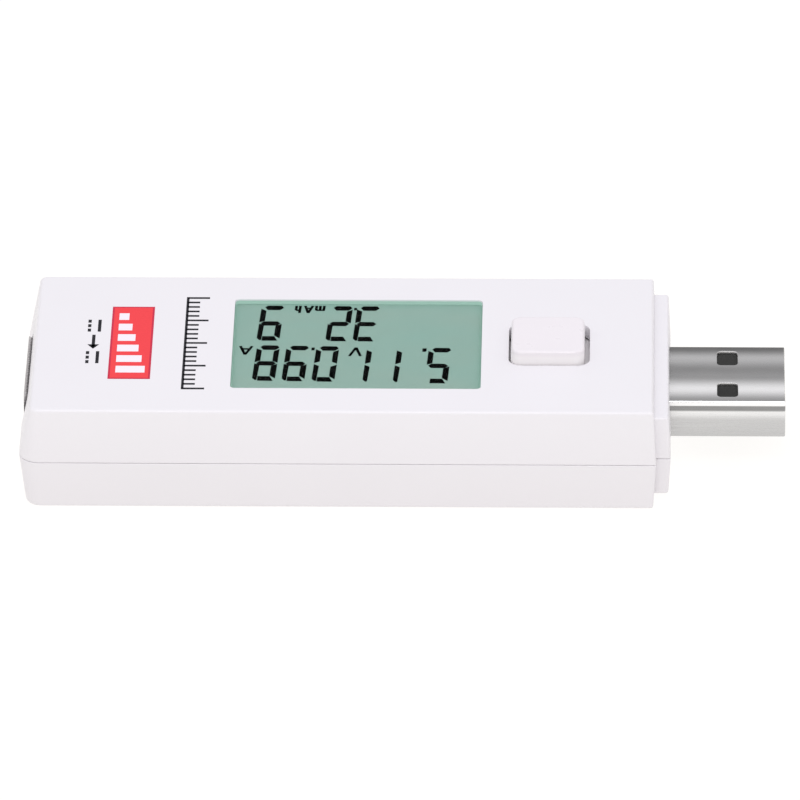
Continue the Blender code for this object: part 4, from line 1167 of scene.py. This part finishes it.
def add_softbox(name, direction, distance, size, energy, colour):
    """A square lamp in this direction from the part, turned to face it."""
    data = bpy.data.lights.new(name, "AREA")
    data.shape = "SQUARE"
    data.size = size
    data.energy = energy
    data.color = colour
    light = new_object(name, data)
    toward = Vector(direction).normalized()
    light.location = toward * distance
    light.rotation_euler = toward.to_track_quat("Z", "Y").to_euler()


# What the room sends in from the side and from above
SKY = [
    (0.0, (0.36, 0.34, 0.315)),
    (0.35, (0.72, 0.7, 0.685)),
    (0.6, (0.86, 0.86, 0.89)),
    (1.0, (0.93, 0.935, 0.985)),
]


def make_light():
    """The room's light, brighter from above, and one softbox over the front edge."""
    scene = bpy.context.scene
    scene.view_settings.view_transform = "Standard"
    scene.view_settings.look = "None"
    world = bpy.data.worlds.new("studio")
    world.use_nodes = True
    tree = world.node_tree
    where = tree.nodes.new("ShaderNodeTexCoord").outputs["Generated"]
    height = tree.nodes.new("ShaderNodeSeparateXYZ")
    tree.links.new(where, height.inputs["Vector"])
    sky = tree.nodes.new("ShaderNodeValToRGB")
    stops = sky.color_ramp.elements
    while len(stops) < len(SKY):
        stops.new(0.5)
    for stop, (position, colour) in zip(stops, SKY):
        stop.position = position
        stop.color = (*colour, 1.0)
    tree.links.new(height.outputs["Z"], sky.inputs["Fac"])
    background = tree.nodes["Background"]
    tree.links.new(sky.outputs["Color"], background.inputs["Color"])
    scene.world = world
    add_softbox("softbox_above", (0.0, -0.5, 0.86), 1.2, 0.4, 3.5, (1.0, 0.98, 1.0))


# ---------------------------------------------------------------- everything together


make_camera()
make_floor()
make_light()

SLOT_SURFACES = {
    "white_abs": white_abs(),
    "button_abs": button_abs(),
    "clear_pmma": clear_pmma(),
    "optical_adhesive": optical_adhesive(),
    "polariser_film": polariser_film(),
    "display_glass": display_glass(),
    "reflector_film": reflector_film(),
    "holder_plastic": holder_plastic(),
    "zebra_rubber": zebra_rubber(),
    "board_green": board_green(),
    "steel_nickel": steel_nickel(),
    "contact_gold": contact_gold(),
    "connector_black": connector_black(),
    "switch_black": switch_black(),
    "chip_epoxy": chip_epoxy(),
    "ceramic": ceramic(),
    "screw_steel": screw_steel(),
}
for row in frame["record"]["subparts"]:
    node = frame["nodes"][row["node"]]
    for material_slot in node.material_slots:
        material_slot.material = SLOT_SURFACES[row["material_slot"]]

make_top_cover(SLOT_SURFACES["white_abs"])
make_bottom_cover(SLOT_SURFACES["white_abs"])
make_button(SLOT_SURFACES["button_abs"])
make_plug_shell(plug_metal())
make_window(SLOT_SURFACES["clear_pmma"], SLOT_SURFACES["optical_adhesive"], lens_edge_painted_glow())
make_segments(lcd_black())
make_prints(
    ink("print_red", (0.9, 0.08, 0.092)),
    ink("print_dark_red", (0.6, 0.05, 0.09)),
    ink("print_pale", (0.93, 0.87, 0.93), 0.02),
    ink("print_grey", (0.035, 0.035, 0.04), 0.2),
)
